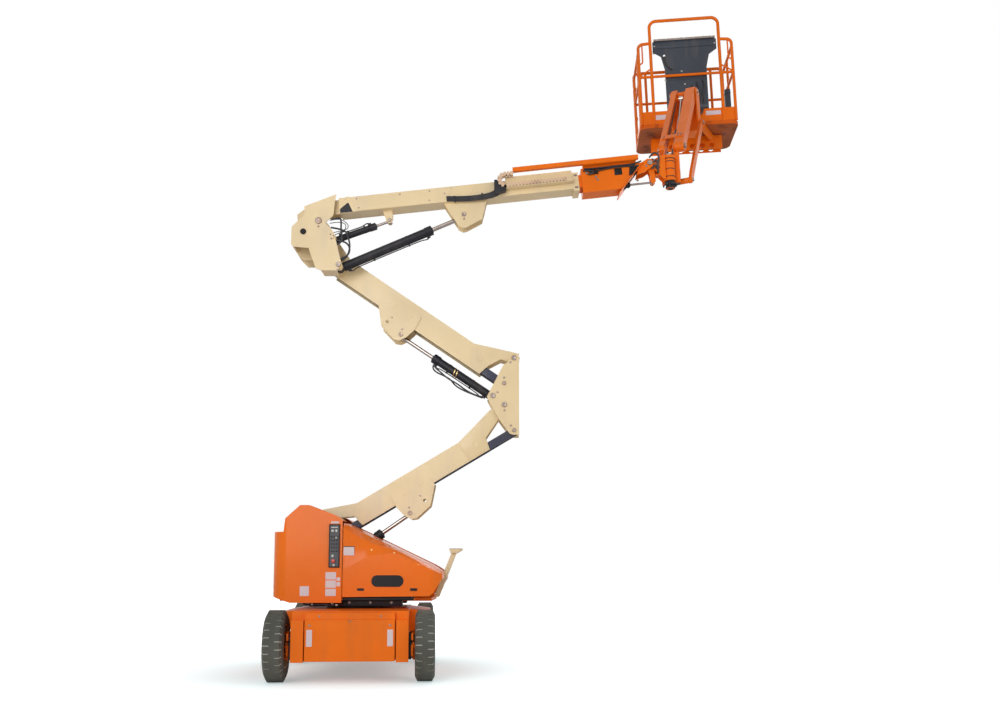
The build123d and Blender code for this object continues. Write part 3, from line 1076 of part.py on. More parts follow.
def console():
    """Control console: shaped back panel and the sloping control box on top, inside the near rail."""
    x0 = NEAR_X + 2 * RAIL_TUBE + FIT
    outline = [(-385, 930), (-385, 1060), (385, 1060), (385, 930), (290, 865), (252, 700), (250, 175), (-250, 175),
               (-252, 700), (-290, 865)]
    face = Plane(origin=(x0, MIDDLE_Y, FLOOR), x_dir=(0, 1, 0), z_dir=(1, 0, 0)) * make_face(
        Polyline(*outline, close=True))
    panel = extrude(face, amount=5)
    case = plate([(x0, FLOOR + 925), (x0 + 150, FLOOR + 985), (x0 + 150, FLOOR + 1020), (x0 - 14, FLOOR + 1085),
                  (x0 - 14, FLOOR + 1068), (x0, FLOOR + 1060)], MIDDLE_Y - 370, MIDDLE_Y + 370)
    key = Pos(x0, MIDDLE_Y + 250, FLOOR + 880) * Rot(0, 90, 0) * Cylinder(14, 60)
    return panel - key + case


keep("platform_mount", platform_at * platform_mount())
keep("platform_floor", platform_at * platform_floor())
keep("platform_rails", platform_at * (rail_near() + rail_far() + side_rails()))
keep("platform_gate", platform_at * gate())
keep("platform_console", platform_at * console())

# ---------------------------------------------------------------- origin and export
def solids_of(shape):
    return list(shape.solids())


everything = Compound(children=[s for shape in PARTS.values() for s in solids_of(shape)])
reach = everything.bounding_box()
SHIFT = (-(reach.min.X + reach.max.X) / 2, -(reach.min.Y + reach.max.Y) / 2)     # where the slew axis stands
print("slew axis at", [round(v, 3) for v in SHIFT], "size", reach.size)
for name, shape in PARTS.items():
    solids = [Pos(SHIFT[0], SHIFT[1], 0) * s for s in solids_of(shape)]
    out = solids[0] if len(solids) == 1 else Compound(children=solids)
    print(f"{name:24s} solids {len(solids)} litres {sum(s.volume for s in solids) / 1e6:8.2f}")
    export_step(out, f"parts/{name}.step")
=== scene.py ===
# %% [markdown]
# # An articulating boom lift
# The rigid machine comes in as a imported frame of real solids, each riding on the body that carries it. Here
# it gets its surfaces: rounded edges, paint, rubber and steel, and the small parts that a fabricator bolts
# on last. Everything is in metres, with +Z up and the boom reaching along +X.

# %% Load the frame
import bpy
import bmesh
import json
import math
from mathutils import Matrix, Vector


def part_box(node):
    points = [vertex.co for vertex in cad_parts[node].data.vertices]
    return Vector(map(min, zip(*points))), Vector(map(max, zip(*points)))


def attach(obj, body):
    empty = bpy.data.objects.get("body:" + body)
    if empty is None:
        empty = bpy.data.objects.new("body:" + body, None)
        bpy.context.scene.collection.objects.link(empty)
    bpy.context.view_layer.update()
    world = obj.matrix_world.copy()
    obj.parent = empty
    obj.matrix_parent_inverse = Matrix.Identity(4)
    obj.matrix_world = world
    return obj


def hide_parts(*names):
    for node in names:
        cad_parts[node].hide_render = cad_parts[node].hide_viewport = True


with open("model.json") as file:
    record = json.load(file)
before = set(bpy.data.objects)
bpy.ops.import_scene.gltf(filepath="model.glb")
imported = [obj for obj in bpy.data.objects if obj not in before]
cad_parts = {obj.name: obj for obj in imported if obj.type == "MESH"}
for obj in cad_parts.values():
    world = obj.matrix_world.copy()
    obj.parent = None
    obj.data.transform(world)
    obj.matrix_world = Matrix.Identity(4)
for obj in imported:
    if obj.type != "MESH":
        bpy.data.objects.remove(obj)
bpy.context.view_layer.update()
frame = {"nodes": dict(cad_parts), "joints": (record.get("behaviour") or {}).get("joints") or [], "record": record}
nodes = frame["nodes"]
body_of = {node: body for body, group in frame["record"]["behaviour"]["bodies"].items() for node in group}
slot_of = {part["node"]: part["material_slot"] for part in frame["record"]["subparts"]}
joints = {joint["name"]: joint for joint in frame["joints"]}

# %% [markdown]
# ## Working frames
# A fabricator dimensions each weldment from its own pins, not from the floor. The same is done here: every
# pivot comes from its joint, and a matrix on it turns the weldment's own axes to where they stand at rest,
# so a bolt on the boom is placed by its distance along the boom.

# %% Helpers for frames


def pivot(name):
    """Where a joint's pin stands at rest."""
    return Vector(joints[name]["pos_m"])


def lifted(origin, angle):
    """A frame at a point, with its X axis turned upwards by an angle in degrees."""
    return Matrix.Translation(origin) @ Matrix.Rotation(math.radians(-angle), 4, "Y")


def turned(degrees):
    """A turn about the upright axis."""
    return Matrix.Rotation(math.radians(degrees), 4, "Z")


print("slew axis at", [round(v, 3) for v in pivot("swing")])

# %% Frames of the weldments
# pose at rest, in degrees: how far each part is lifted, or turned about the upright axis
CHASSIS_TURN = 4.3
LOWER_LIFT, UPPER_LIFT = 31.0, -34.5
BOOM_LIFT, LEVEL_LIFT = 6.2, 2.2
SWIVEL_TURN, JIB_LIFT, PLATFORM_TURN = 67.6, 48.7, 18.9

LOWER_LENGTH, UPPER_LENGTH = 2.200, 2.385       # risers, from pin to pin
POST_PLANE_AHEAD = 0.08         # the riser posts' plane, ahead of the slew axis
SWIVEL_AHEAD = 0.210            # swing axis of the jib, ahead of the level pivot
JIB_FOOT = Vector((0.2035, 0, 0.258))           # pin of the jib on its swivel
LINK_FOOT = Vector((0.2035, 0, -0.120))         # pin of the jib's link below it
FLOOR = 1.2034                  # top of the platform's floor, above the level pivot
JIB_HEAD = Vector((1.0622, 0, FLOOR + 0.032))   # pin of the jib on its head
LINK_HEAD = Vector((JIB_HEAD.x, 0, FLOOR - 0.346))     # pin of the link below it
ROTATOR_AHEAD = 0.268           # turning axis of the platform, ahead of the jib head's pin

SWING_AXIS = pivot("swing")
TABLE = Matrix.Translation((SWING_AXIS.x + POST_PLANE_AHEAD, SWING_AXIS.y, 0))
CHASSIS = Matrix.Translation((SWING_AXIS.x, SWING_AXIS.y, 0)) @ turned(CHASSIS_TURN)
LOWER = lifted(pivot("lower_lift"), LOWER_LIFT)
UPPER = lifted(pivot("tower_head_level"), UPPER_LIFT)
HEAD = Matrix.Translation(pivot("tower_head_level"))
BOOM = lifted(pivot("main_lift"), BOOM_LIFT)
LEVEL = lifted(pivot("jib_mount_level"), LEVEL_LIFT)
SWIVEL = LEVEL @ Matrix.Translation((SWIVEL_AHEAD, 0, 0)) @ turned(SWIVEL_TURN)
JIB = SWIVEL @ lifted(JIB_FOOT, JIB_LIFT)
PLATFORM = SWIVEL @ Matrix.Translation((JIB_HEAD.x + ROTATOR_AHEAD, 0, FLOOR)) @ turned(PLATFORM_TURN)
print("boom pivot", [round(v, 3) for v in BOOM.translation])

# %% [markdown]
# ## The view
# The machine is looked at from a metre above the floor, a little from the right, with the lens tilted up.
# Tilting further would bring in the whole boom too, but it makes uprights lean together. A raised lens
# shift keeps the boom in view and the uprights nearly straight.

# %% Camera
EYE = Vector((1.33, -10.1, 1.0))                # from the riser posts, on the floor
TILT_UP = 6.5


def add_object(name, data):
    """An object for a camera, lamp, mesh or curve, linked to the scene."""
    piece = bpy.data.objects.new(name, data)
    bpy.context.scene.collection.objects.link(piece)
    return piece


camera = add_object("camera", bpy.data.cameras.new("camera"))
camera.data.lens = 36
camera.data.sensor_width = 36
camera.data.shift_y = 0.10
camera.location = TABLE @ EYE
camera.rotation_euler = (math.radians(90 + TILT_UP), 0, 0)
bpy.context.scene.camera = camera
print("camera at", [round(v, 2) for v in camera.location])

# %% [markdown]
# ## Surround and lamps
# A machine is shown in a hall with pale walls and large soft lamps, so that each colour looks about as it
# was mixed. An image of a real studio could light it, but here a plain world and three area lamps do,
# because their levels can be read and changed. The surround is white only to the eye and to gloss, and
# gives the machine less light than it shows.

# %% World
HALL_LIGHT = 0.38               # what the surround gives the machine, where white is 1
WHITE = (1, 1, 1, 1)


def band(tree, value, low, high, bottom=0.0, top=1.0):
    """Turns a value into bottom below low and top above high."""
    ramp = tree.nodes.new("ShaderNodeMapRange")
    ramp.inputs["From Min"].default_value = low
    ramp.inputs["From Max"].default_value = high
    ramp.inputs["To Min"].default_value = bottom
    ramp.inputs["To Max"].default_value = top
    tree.links.new(value, ramp.inputs["Value"])
    return ramp.outputs["Result"]


def combined(tree, operation, first, second):
    """A Math node on two values."""
    node = tree.nodes.new("ShaderNodeMath")
    node.operation = operation
    tree.links.new(first, node.inputs[0])
    tree.links.new(second, node.inputs[1])
    return node.outputs[0]


world = bpy.data.worlds.new("studio")
bpy.context.scene.world = world
world.use_nodes = True
tree = world.node_tree
surround = tree.nodes["Background"]
surround.inputs["Color"].default_value = WHITE
path = tree.nodes.new("ShaderNodeLightPath")
seen = combined(tree, "MAXIMUM", path.outputs["Is Camera Ray"], path.outputs["Is Glossy Ray"])
tree.links.new(band(tree, seen, 0.0, 1.0, HALL_LIGHT), surround.inputs["Strength"])
bpy.context.scene.view_settings.view_transform = "Standard"
print("light of the hall", HALL_LIGHT)

# %% Lamps
MIDDLE = Vector((0, 0, 3.4))    # what the lamps are turned to, about half way up the machine


def lamp(name, way, size, power):
    """A square soft lamp that stands off the middle of the machine and is turned to it."""
    light = bpy.data.lights.new(name, "AREA")
    light.size = size
    light.energy = power
    piece = add_object(name, light)
    piece.location = MIDDLE + Vector(way)
    piece.rotation_euler = (MIDDLE - piece.location).to_track_quat("-Z", "Y").to_euler()


lamp("key", (-5.5, -14.0, 2.0), 8.0, 830)
lamp("fill", (8.0, -6.0, 1.0), 6.0, 170)
lamp("back", (2.0, 9.0, 6.0), 6.0, 220)
print("lamps", [light.name for light in bpy.data.lights])

# %% [markdown]
# ## Floor
# The hall's floor is pale and matt, and all that it does is to take the shadow. A cloth curved up behind
# the machine could hide its far edge. Here the floor glows a little more with each metre and so fades into
# the surround, because that works from every side. The glow is shown to the camera alone.

# %% Floor that fades into the surround
FADE_START, FADE_END = 1.0, 3.4                 # distance from the slew axis
SHADE_GLOW = 0.33               # glow under the machine, where white is 1
SHADE_TINT = (0.68, 1.0, 1.03, 1)               # takes the orange light out of the shadow

shape = bmesh.new()
bmesh.ops.create_grid(shape, x_segments=1, y_segments=1, size=40)
mesh = bpy.data.meshes.new("floor")
shape.to_mesh(mesh)
shape.free()
floor_paint = bpy.data.materials.new("studio_floor")
floor_paint.use_nodes = True
tree = floor_paint.node_tree
plain = tree.nodes["Principled BSDF"]
plain.inputs["Base Color"].default_value = (0.93, 0.93, 0.93, 1)
plain.inputs["Roughness"].default_value = 0.9
reach = tree.nodes.new("ShaderNodeVectorMath")
reach.operation = "DISTANCE"
reach.inputs[1].default_value = (SWING_AXIS.x, SWING_AXIS.y, 0)
tree.links.new(tree.nodes.new("ShaderNodeTexCoord").outputs["Object"], reach.inputs[0])
fade = band(tree, reach.outputs["Value"], FADE_START, FADE_END, SHADE_GLOW)
cool = tree.nodes.new("ShaderNodeMix")
cool.data_type = "RGBA"
cool.inputs["A"].default_value = SHADE_TINT
cool.inputs["B"].default_value = WHITE
tree.links.new(fade, cool.inputs["Factor"])
tree.links.new(cool.outputs["Result"], plain.inputs["Emission Color"])
path = tree.nodes.new("ShaderNodeLightPath")
glow = combined(tree, "MULTIPLY", fade, path.outputs["Is Camera Ray"])
tree.links.new(glow, plain.inputs["Emission Strength"])
mesh.materials.append(floor_paint)
add_object("floor", mesh)
print("floor laid")

# %% [markdown]
# ## A coated surface
# Sprayed paint is never one flat colour. It drifts a little over a metre, dust gathers in streaks that run
# down the panel, small chips show what is under the coat, and the spray leaves a fine orange peel. Under the
# platform the same streaks, dark and heavy, are painted shade. Painted maps could carry all this, but noise on
# Object coordinates needs no unwrapping and stays sharp close by.
# One helper builds it, and each finish then only chooses colours and amounts.

# %% Helpers for node trees


def noise(tree, position, scale, detail=3.0, stretch=None):
    """A noise value over the piece, stretched by a Mapping node where a direction matters."""
    texture = tree.nodes.new("ShaderNodeTexNoise")
    texture.inputs["Scale"].default_value = scale
    texture.inputs["Detail"].default_value = detail
    if stretch:
        mapping = tree.nodes.new("ShaderNodeMapping")
        mapping.inputs["Scale"].default_value = stretch
        tree.links.new(position, mapping.inputs["Vector"])
        position = mapping.outputs["Vector"]
    tree.links.new(position, texture.inputs["Vector"])
    return texture.outputs["Fac"]


def blend_colour(tree, share, first, second):
    """Mixes two colours, each a tuple or a socket, by a share."""
    mix = tree.nodes.new("ShaderNodeMix")
    mix.data_type = "RGBA"
    tree.links.new(share, mix.inputs["Factor"])
    for socket, value in ((mix.inputs[6], first), (mix.inputs[7], second)):
        if isinstance(value, tuple):
            socket.default_value = (*value, 1)
        else:
            tree.links.new(value, socket)
    return mix.outputs[2]


print("node helpers ready")

# %% Helper for coated surfaces
finish = {}
# scales of the noise: a larger one is finer
DRIFT_SCALE, GLOSS_SCALE, STREAK_SCALE, CHIP_SCALE = 1.3, 3.1, 5.0, 38.0
STREAK_STRETCH = (1.0, 1.0, 0.22)               # longest along Z, so that streaks run down
CHIP_EDGE = 0.03                # how softly a chip ends
BUMP_DEPTH = 0.002


def surface(name, colour, roughness, drift, metallic=0.0, coat=0.0, dust=None, dust_and_shade_amount=0.0,
            chips=None, chip_level=0.78, peel=0.04, peel_scale=90.0, shine=0.5):
    """Adds a finish with colour drift, streaks of dust that under the platform are painted shade, chips and a fine
    bump.
    """
    material = bpy.data.materials.new(name)
    material.use_nodes = True
    tree = material.node_tree
    shader = tree.nodes["Principled BSDF"]
    position = tree.nodes.new("ShaderNodeTexCoord").outputs["Object"]
    darker = tuple(c * (1 - drift) for c in colour)
    lighter = tuple(min(1.0, c * (1 + drift)) for c in colour)
    tint = blend_colour(tree, band(tree, noise(tree, position, DRIFT_SCALE), 0.35, 0.65), darker, lighter)
    # streaks of dust; the platform's finishes use them, dark and heavy, as painted shade
    if dust:
        streaks = noise(tree, position, STREAK_SCALE, 5.0, stretch=STREAK_STRETCH)
        tint = blend_colour(tree, band(tree, streaks, 0.5, 0.75, top=dust_and_shade_amount), tint, dust)
    if chips:
        speckle = noise(tree, position, CHIP_SCALE, 6.0)
        tint = blend_colour(tree, band(tree, speckle, chip_level, chip_level + CHIP_EDGE), tint, chips)
    tree.links.new(tint, shader.inputs["Base Color"])
    gloss = band(tree, noise(tree, position, GLOSS_SCALE, 4.0), 0.3, 0.7)
    spread = band(tree, gloss, 0.0, 1.0, max(0.03, roughness * 0.8), min(1.0, roughness * 1.25))
    tree.links.new(spread, shader.inputs["Roughness"])
    shader.inputs["Metallic"].default_value = metallic
    shader.inputs["Specular IOR Level"].default_value = shine
    shader.inputs["Coat Weight"].default_value = coat
    shader.inputs["Coat Roughness"].default_value = 0.12
    bump = tree.nodes.new("ShaderNodeBump")
    bump.inputs["Strength"].default_value = peel
    bump.inputs["Distance"].default_value = BUMP_DEPTH
    tree.links.new(noise(tree, position, peel_scale, 2.0), bump.inputs["Height"])
    tree.links.new(bump.outputs["Normal"], shader.inputs["Normal"])
    finish[name] = material


print("surface helper ready")

# %% [markdown]
# ## Finishes of the machine
# The makers of such machines powder-coat the chassis and covers in a signal colour and the boom in a pale
# one. Cylinders are black, rods chromed, tyres solid rubber. A finish could be mixed anew for each piece,
# but each slot has only one here, because a machine is sprayed in batches.

# %% Finishes of the machine
ORANGE = (0.860, 0.165, 0.006)
CREAM = (0.790, 0.610, 0.345)
RUST_DUST = (0.30, 0.13, 0.05)
GREY_DUST = (0.55, 0.46, 0.36)
surface("orange_paint", ORANGE, 0.34, coat=0.06, drift=0.07, dust=RUST_DUST, dust_and_shade_amount=0.22,
        chips=(0.30, 0.07, 0.02), chip_level=0.80, shine=0.12)
surface("orange_cover", ORANGE, 0.26, coat=0.2, drift=0.05, dust=RUST_DUST, dust_and_shade_amount=0.06, peel=0.03,
        shine=0.1)
surface("cream_paint", CREAM, 0.42, coat=0.15, drift=0.06, dust=GREY_DUST, dust_and_shade_amount=0.30,
        chips=(0.22, 0.15, 0.10), chip_level=0.81)
surface("navy_paint", (0.022, 0.024, 0.055), 0.45, drift=0.3, dust=GREY_DUST, dust_and_shade_amount=0.15)
surface("black_paint", (0.015, 0.015, 0.020), 0.42, drift=0.3, dust=GREY_DUST, dust_and_shade_amount=0.06,
        shine=0.25)
surface("polished_rod", (0.42, 0.36, 0.33), 0.18, metallic=1.0, drift=0.08, peel=0.01,
        dust=(0.16, 0.10, 0.08), dust_and_shade_amount=0.6)
surface("tyre", (0.085, 0.088, 0.072), 0.85, drift=0.25, dust=(0.17, 0.16, 0.13), dust_and_shade_amount=0.45,
        peel=0.35, peel_scale=160.0)
surface("dark_plastic", (0.028, 0.034, 0.050), 0.5, drift=0.2, dust=GREY_DUST, dust_and_shade_amount=0.12,
        peel=0.15, peel_scale=300.0)
surface("platform_tube", ORANGE, 0.36, coat=0.06, drift=0.07, dust=RUST_DUST, dust_and_shade_amount=0.18,
        chips=(0.45, 0.35, 0.28), chip_level=0.80, shine=0.12)
# platform plates: the dark rust and the heavy near-black streaks are painted shade of the platform's underside;
# the chips are wear
surface("platform_plate", (0.66, 0.115, 0.010), 0.5, drift=0.25, dust=(0.085, 0.022, 0.012),
        dust_and_shade_amount=0.9, chips=(0.12, 0.05, 0.02), chip_level=0.72, shine=0.12)
surface("cast_ballast", (0.09, 0.09, 0.09), 0.8, drift=0.2, peel=0.4, peel_scale=60.0)
surface("battery_case", (0.05, 0.05, 0.055), 0.6, drift=0.2)
surface("machined_steel", (0.45, 0.44, 0.42), 0.3, metallic=1.0, drift=0.1, dust=RUST_DUST,
        dust_and_shade_amount=0.3)
print("finishes", len(finish))

# %% [markdown]
# ## Finishes of the small parts
# Bolts are zinc-plated, hoses and film plates are matt, and the carrier's links are pale nylon. They use
# the same helper with other amounts, so that dust lies on everything alike.

# %% Finishes of the small parts
# plate under the platform: the dark brown and the heavy near-black streaks are painted shade of its underside,
# with orange chips
surface("painted_shade_pan", (0.34, 0.085, 0.022), 0.6, drift=0.35, dust=(0.050, 0.018, 0.014),
        dust_and_shade_amount=0.95, chips=(0.60, 0.14, 0.02), chip_level=0.64, shine=0.2)
surface("zinc_bolt", (0.30, 0.24, 0.21), 0.42, metallic=0.9, drift=0.2, dust=RUST_DUST, dust_and_shade_amount=0.5)
surface("hose_rubber", (0.016, 0.017, 0.022), 0.5, drift=0.3, dust=GREY_DUST, dust_and_shade_amount=0.1, peel=0.2,
        peel_scale=220.0)
surface("label_film", (0.66, 0.55, 0.58), 0.4, drift=0.08, dust=GREY_DUST, dust_and_shade_amount=0.3)
surface("black_film", (0.010, 0.009, 0.010), 0.45, drift=0.2, shine=0.2)
# pale grey for the faces in the grooves, lighter than the tread
surface("groove_dust", (0.48, 0.47, 0.40), 0.9, drift=0.15, peel=0.3, peel_scale=200.0)
surface("carrier_link", (0.72, 0.50, 0.33), 0.6, drift=0.16, dust=(0.30, 0.15, 0.09), dust_and_shade_amount=0.6)
surface("brass_fitting", (0.62, 0.45, 0.20), 0.3, metallic=1.0, drift=0.15)
surface("red_knob", (0.60, 0.03, 0.015), 0.35, coat=0.3, drift=0.1)
surface("gauge_face", (0.50, 0.50, 0.44), 0.3, coat=0.6, drift=0.04)
print("finishes", len(finish))

# %% [markdown]
# ## Rounded edges
# A pressed or welded plate never has a razor edge, and the light line along its rounding is what makes a
# panel read as metal. The solids could be rounded where they are drawn, at the cost of many more faces to
# simulate. Instead a copy of each is merged, its flat faces are joined again, and a Bevel modifier rounds
# what is sharp. The copy then stands for the solid.

# %% Helper that softens a solid
SHARP = 28.0                    # an edge that turns by more than this is rounded
FLAT = 1.0                      # faces that differ by less are one
SAME_POINT = 0.00002            # corners closer than this are one


def soften(node, width, segments):
    """A copy of a CAD node with rounded edges that stands for it."""
    source = nodes[node]
    mesh = source.data.copy()
    shape = bmesh.new()
    shape.from_mesh(mesh)
    bmesh.ops.remove_doubles(shape, verts=shape.verts, dist=SAME_POINT)
    bmesh.ops.dissolve_limit(shape, angle_limit=math.radians(FLAT), verts=shape.verts, edges=shape.edges)
    shape.to_mesh(mesh)
    shape.free()
    piece = add_object(node + "_skin", mesh)
    rounding = piece.modifiers.new("rounding", "BEVEL")
    rounding.width = width
    rounding.segments = segments
    rounding.limit_method = "ANGLE"
    rounding.angle_limit = math.radians(SHARP)
    rounding.miter_outer = "MITER_ARC"
    mesh.materials.clear()
    mesh.materials.append(finish[slot_of[node]])
    for face in mesh.polygons:
        face.use_smooth = True
    keep_flat = piece.modifiers.new("flat_faces", "WEIGHTED_NORMAL")
    keep_flat.keep_sharp = True
    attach(piece, body_of[node])
    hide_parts(node)
    return piece


print("softening helper ready")

# %% Soften each solid
ROUNDING = {
    # node: (radius of the rounding, segments)
    "tail_cover": (0.026, 4), "hood_near": (0.020, 3), "hood_far": (0.020, 3),
    "chassis_frame": (0.006, 2), "chassis_end_panel": (0.005, 2),
    "lower_riser": (0.003, 2), "upper_riser": (0.003, 2),
    "mid_upright": (0.003, 2), "top_upright": (0.003, 2),
    "main_boom": (0.004, 2), "fly_boom": (0.003, 2),
    "jib_frame": (0.006, 2), "jib_head": (0.004, 2),
    "jib_swivel": (0.003, 2), "jib_mount": (0.003, 2),
    "platform_floor": (0.003, 1), "platform_mount": (0.003, 1), "platform_console": (0.0015, 1),
    "turntable_frame": (0.003, 1), "boom_rest": (0.002, 1), "ground_controls": (0.004, 2),
}
skins = {node: soften(node, *size) for node, size in ROUNDING.items()}
for node, piece in nodes.items():
    if node not in skins:
        piece.data.materials.clear()
        piece.data.materials.append(finish[slot_of[node]])
print("softened", len(skins), "solids")

# %% [markdown]
# ## A small workshop
# Most fittings are one of four things: a bar or plate, something turned on a lathe, a plate cut to an
# outline, or a hose. They could be drawn one by one in the editor, but each kind gets one helper on bmesh
# operators, so that the cells below read as a list of what is bolted where.

# %% Bars and film plates


def rounded(shape, edges, radius, segments=2):
    """Rounds some edges."""
    bmesh.ops.bevel(shape, geom=list(edges), offset=radius, segments=segments, profile=0.5, affect="EDGES",
                    material=-1)


def box_edges(shape, low, high):
    """Makes a sharp box between two corners and gives its edges."""
    low, high = Vector(low), Vector(high)
    verts = bmesh.ops.create_cube(shape, size=1.0)["verts"]
    bmesh.ops.scale(shape, vec=high - low, verts=verts)
    bmesh.ops.translate(shape, vec=(low + high) / 2, verts=verts)
    return {edge for vert in verts for edge in vert.link_edges}


def block(shape, low, high, radius, segments=2):
    """A box between two corners, with all its edges rounded."""
    rounded(shape, box_edges(shape, low, high), radius, segments)


def film(shape, low, high, corner, axis=1):
    """A thin plate with rounded corners, flat across one axis."""
    corners = []
    for edge in box_edges(shape, low, high):
        run = edge.verts[0].co - edge.verts[1].co
        if abs(run[axis]) > 0.9 * run.length:
            corners.append(edge)
    rounded(shape, corners, corner, 6)


print("bars and plates ready")

# %% Turned parts and cut plates
NEARBY = 0.5                    # the lathe looks for doubled points no further off than this


def lathe(shape, profile, origin, axis, steps):
    """Spins a profile of (distance along, radius) about an axis through a point."""
    axis = Vector(axis).normalized()
    side = axis.orthogonal().normalized()
    origin = Vector(origin)
    verts = [shape.verts.new(origin + axis * along + side * radius) for along, radius in profile]
    edges = [shape.edges.new(pair) for pair in zip(verts, verts[1:])]
    made = bmesh.ops.spin(shape, geom=verts + edges, cent=origin, axis=axis, angle=2 * math.pi, steps=steps,
                          use_merge=True)
    # a point on the axis is copied at each step, so those copies are merged again
    ring = [item for item in made["geom_last"] if isinstance(item, bmesh.types.BMVert)]
    near = list({vert for vert in shape.verts if (vert.co - origin).length < NEARBY} | set(ring))
    bmesh.ops.remove_doubles(shape, verts=near, dist=0.00001)


def cut_plate(shape, outline, y0, y1, radius=0.0):
    """A plate with its outline in X and Z, between two Y values, rounded at the second."""
    face = shape.faces.new([shape.verts.new((x, y0, z)) for x, z in outline])
    made = bmesh.ops.extrude_face_region(shape, geom=[face])["geom"]
    verts = [item for item in made if isinstance(item, bmesh.types.BMVert)]
    bmesh.ops.translate(shape, vec=(0, y1 - y0, 0), verts=verts)
    if radius:
        rounded(shape, {edge for vert in verts for edge in vert.link_edges}, radius)


print("lathe and cutter ready")

# %% From a shape to a piece, and hoses


def finished(name, shape, coats, body, place=None, sharp=32.0):
    """Turns a bmesh into a piece in its finish, riding on a body."""
    if place is not None:
        bmesh.ops.transform(shape, matrix=place, verts=shape.verts)
    bmesh.ops.recalc_face_normals(shape, faces=shape.faces)
    mesh = bpy.data.meshes.new(name)
    shape.to_mesh(mesh)
    shape.free()
    for face in mesh.polygons:
        face.use_smooth = True
    mesh.set_sharp_from_angle(angle=math.radians(sharp))
    for coat in coats.split():
        mesh.materials.append(finish[coat])
    piece = add_object(name, mesh)
    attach(piece, body)
    return piece


def hoses(name, body, radius, routes, place, coat="hose_rubber"):
    """Fixed hoses or pipes along smooth routes, all of one radius."""
    data = bpy.data.curves.new(name, "CURVE")
    data.dimensions = "3D"
    data.bevel_depth = radius
    data.bevel_resolution = 3
    data.resolution_u = 6
    data.use_fill_caps = True
    for route in routes:
        spline = data.splines.new("NURBS")
        spline.points.add(len(route) - 1)
        for point, spot in zip(spline.points, route):
            point.co = (*(place @ Vector(spot)), 1)
        spline.order_u = 3
        spline.use_endpoint_u = True
    data.materials.append(finish[coat])
    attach(add_object(name, data), body)


print("pieces and hoses ready")

# %% [markdown]
# ## Fasteners
# Two things hold such a machine together: hexagon bolts on washers, and greased pins with a small keeper
# bolt beside them. A real thread would never show, so a bolt is only its washer and head. Each is turned in
# place, on the face that it sits on.

# %% Bolts and pin ends


def bolt(shape, spot, axis, radius):
    """A hexagon head on a washer."""
    lathe(shape, [(0, 0), (0, radius * 1.5), (radius * 0.3, radius * 1.5), (radius * 0.3, 0)], spot, axis, 14)
    lathe(shape, [(radius * 0.3, radius), (radius * 1.1, radius), (radius * 1.25, radius * 0.8),
                  (radius * 1.25, 0)], spot, axis, 6)


def pin_end(shape, spot, axis, radius, keeper=None):
    """The chamfered end of a pivot pin with its centre hole, and a keeper bolt at an offset from it."""
    lathe(shape, [(0, radius), (0.0105, radius), (0.0135, radius * 0.84), (0.0135, radius * 0.30),
                  (0.0125, radius * 0.22), (0.0125, 0)], spot, axis, 24)
    if keeper:
        bolt(shape, Vector(spot) + Vector(keeper), axis, 0.0075)


NEAR, FAR = Vector((0, -1, 0)), Vector((0, 1, 0))
print("fasteners ready")

# %% [markdown]
# ## Tyres
# The wheels carry solid rubber tyres with a broad band cut by short grooves from each shoulder, the two
# rows staggered by half a step. A bump could hint at the grooves, but they break the tyre's outline, so
# they are real here. The carcass is a spun section a groove's depth lower than the tread. One lug is made
# as a spun sector and copied around the wheel. The second row is made the same way, mirrored and half a
# step on.

# %% Treaded tyres
WHEEL_RADIUS = 0.3175
HALF_WIDTH = 0.089
LUGS = 28
GROOVE_DEPTH = 0.006
RIB = 0.024                     # half width of the smooth band in the middle
GROOVE_END = 0.082              # where the grooves run out on the shoulder
GROOVE = 0.15                   # share of a step that the groove takes


def treaded_tyre(node):
    """A tyre with two staggered rows of lugs that stands for the plain one."""
    low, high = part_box(node)
    hub = (Vector(low) + Vector(high)) / 2
    shape = bmesh.new()
    base = WHEEL_RADIUS - GROOVE_DEPTH
    half = [(HALF_WIDTH, 0.197), (HALF_WIDTH, 0.215), (HALF_WIDTH - 0.003, 0.250), (HALF_WIDTH, 0.262),
            (GROOVE_END, 0.282), (0.067, base), (RIB + 0.001, base), (RIB, WHEEL_RADIUS)]
    section = [(-x, radius) for x, radius in half] + [(x, radius) for x, radius in reversed(half)]
    lathe(shape, section + section[:1], (0, 0, 0), (1, 0, 0), 84)
    for face in shape.faces:
        face.material_index = int(RIB < abs(face.calc_center_median().x) < GROOVE_END)
    lug = [(RIB - 0.003, base - 0.004), (RIB - 0.003, WHEEL_RADIUS), (0.066, WHEEL_RADIUS),
           (HALF_WIDTH, 0.2735), (HALF_WIDTH, 0.262), (0.075, 0.262)]
    step = 2 * math.pi / LUGS
    for side in (-1, 1):
        # a quarter step each way, which sets the rows half a step apart
        start = Matrix.Rotation(step * side / 4, 4, "X")
        face = shape.faces.new([shape.verts.new(start @ Vector((side * x, 0, radius))) for x, radius in lug])
        known = set(shape.verts)
        bmesh.ops.spin(shape, geom=[face], cent=(0, 0, 0), axis=(1, 0, 0), angle=step * (1 - GROOVE), steps=2)
        made = [vert for vert in shape.verts if vert not in known] + list(face.verts if face.is_valid else [])
        one = list({item for vert in made for item in (vert, *vert.link_edges, *vert.link_faces)})
        bmesh.ops.spin(shape, geom=one, cent=(0, 0, 0), axis=(1, 0, 0), angle=step * (LUGS - 1),
                       steps=LUGS - 1, use_duplicate=True)
    place = Matrix.Translation(hub) @ turned(CHASSIS_TURN)
    piece = finished(node + "_treaded", shape, "tyre groove_dust", body_of[node], place, 40.0)
    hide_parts(node)
    return piece


tyres = [treaded_tyre(f"{axle}_tyre_{side}") for axle in ("drive", "steer") for side in ("left", "right")]
print("tyre triangles", sum(len(face.vertices) - 2 for face in tyres[0].data.polygons))

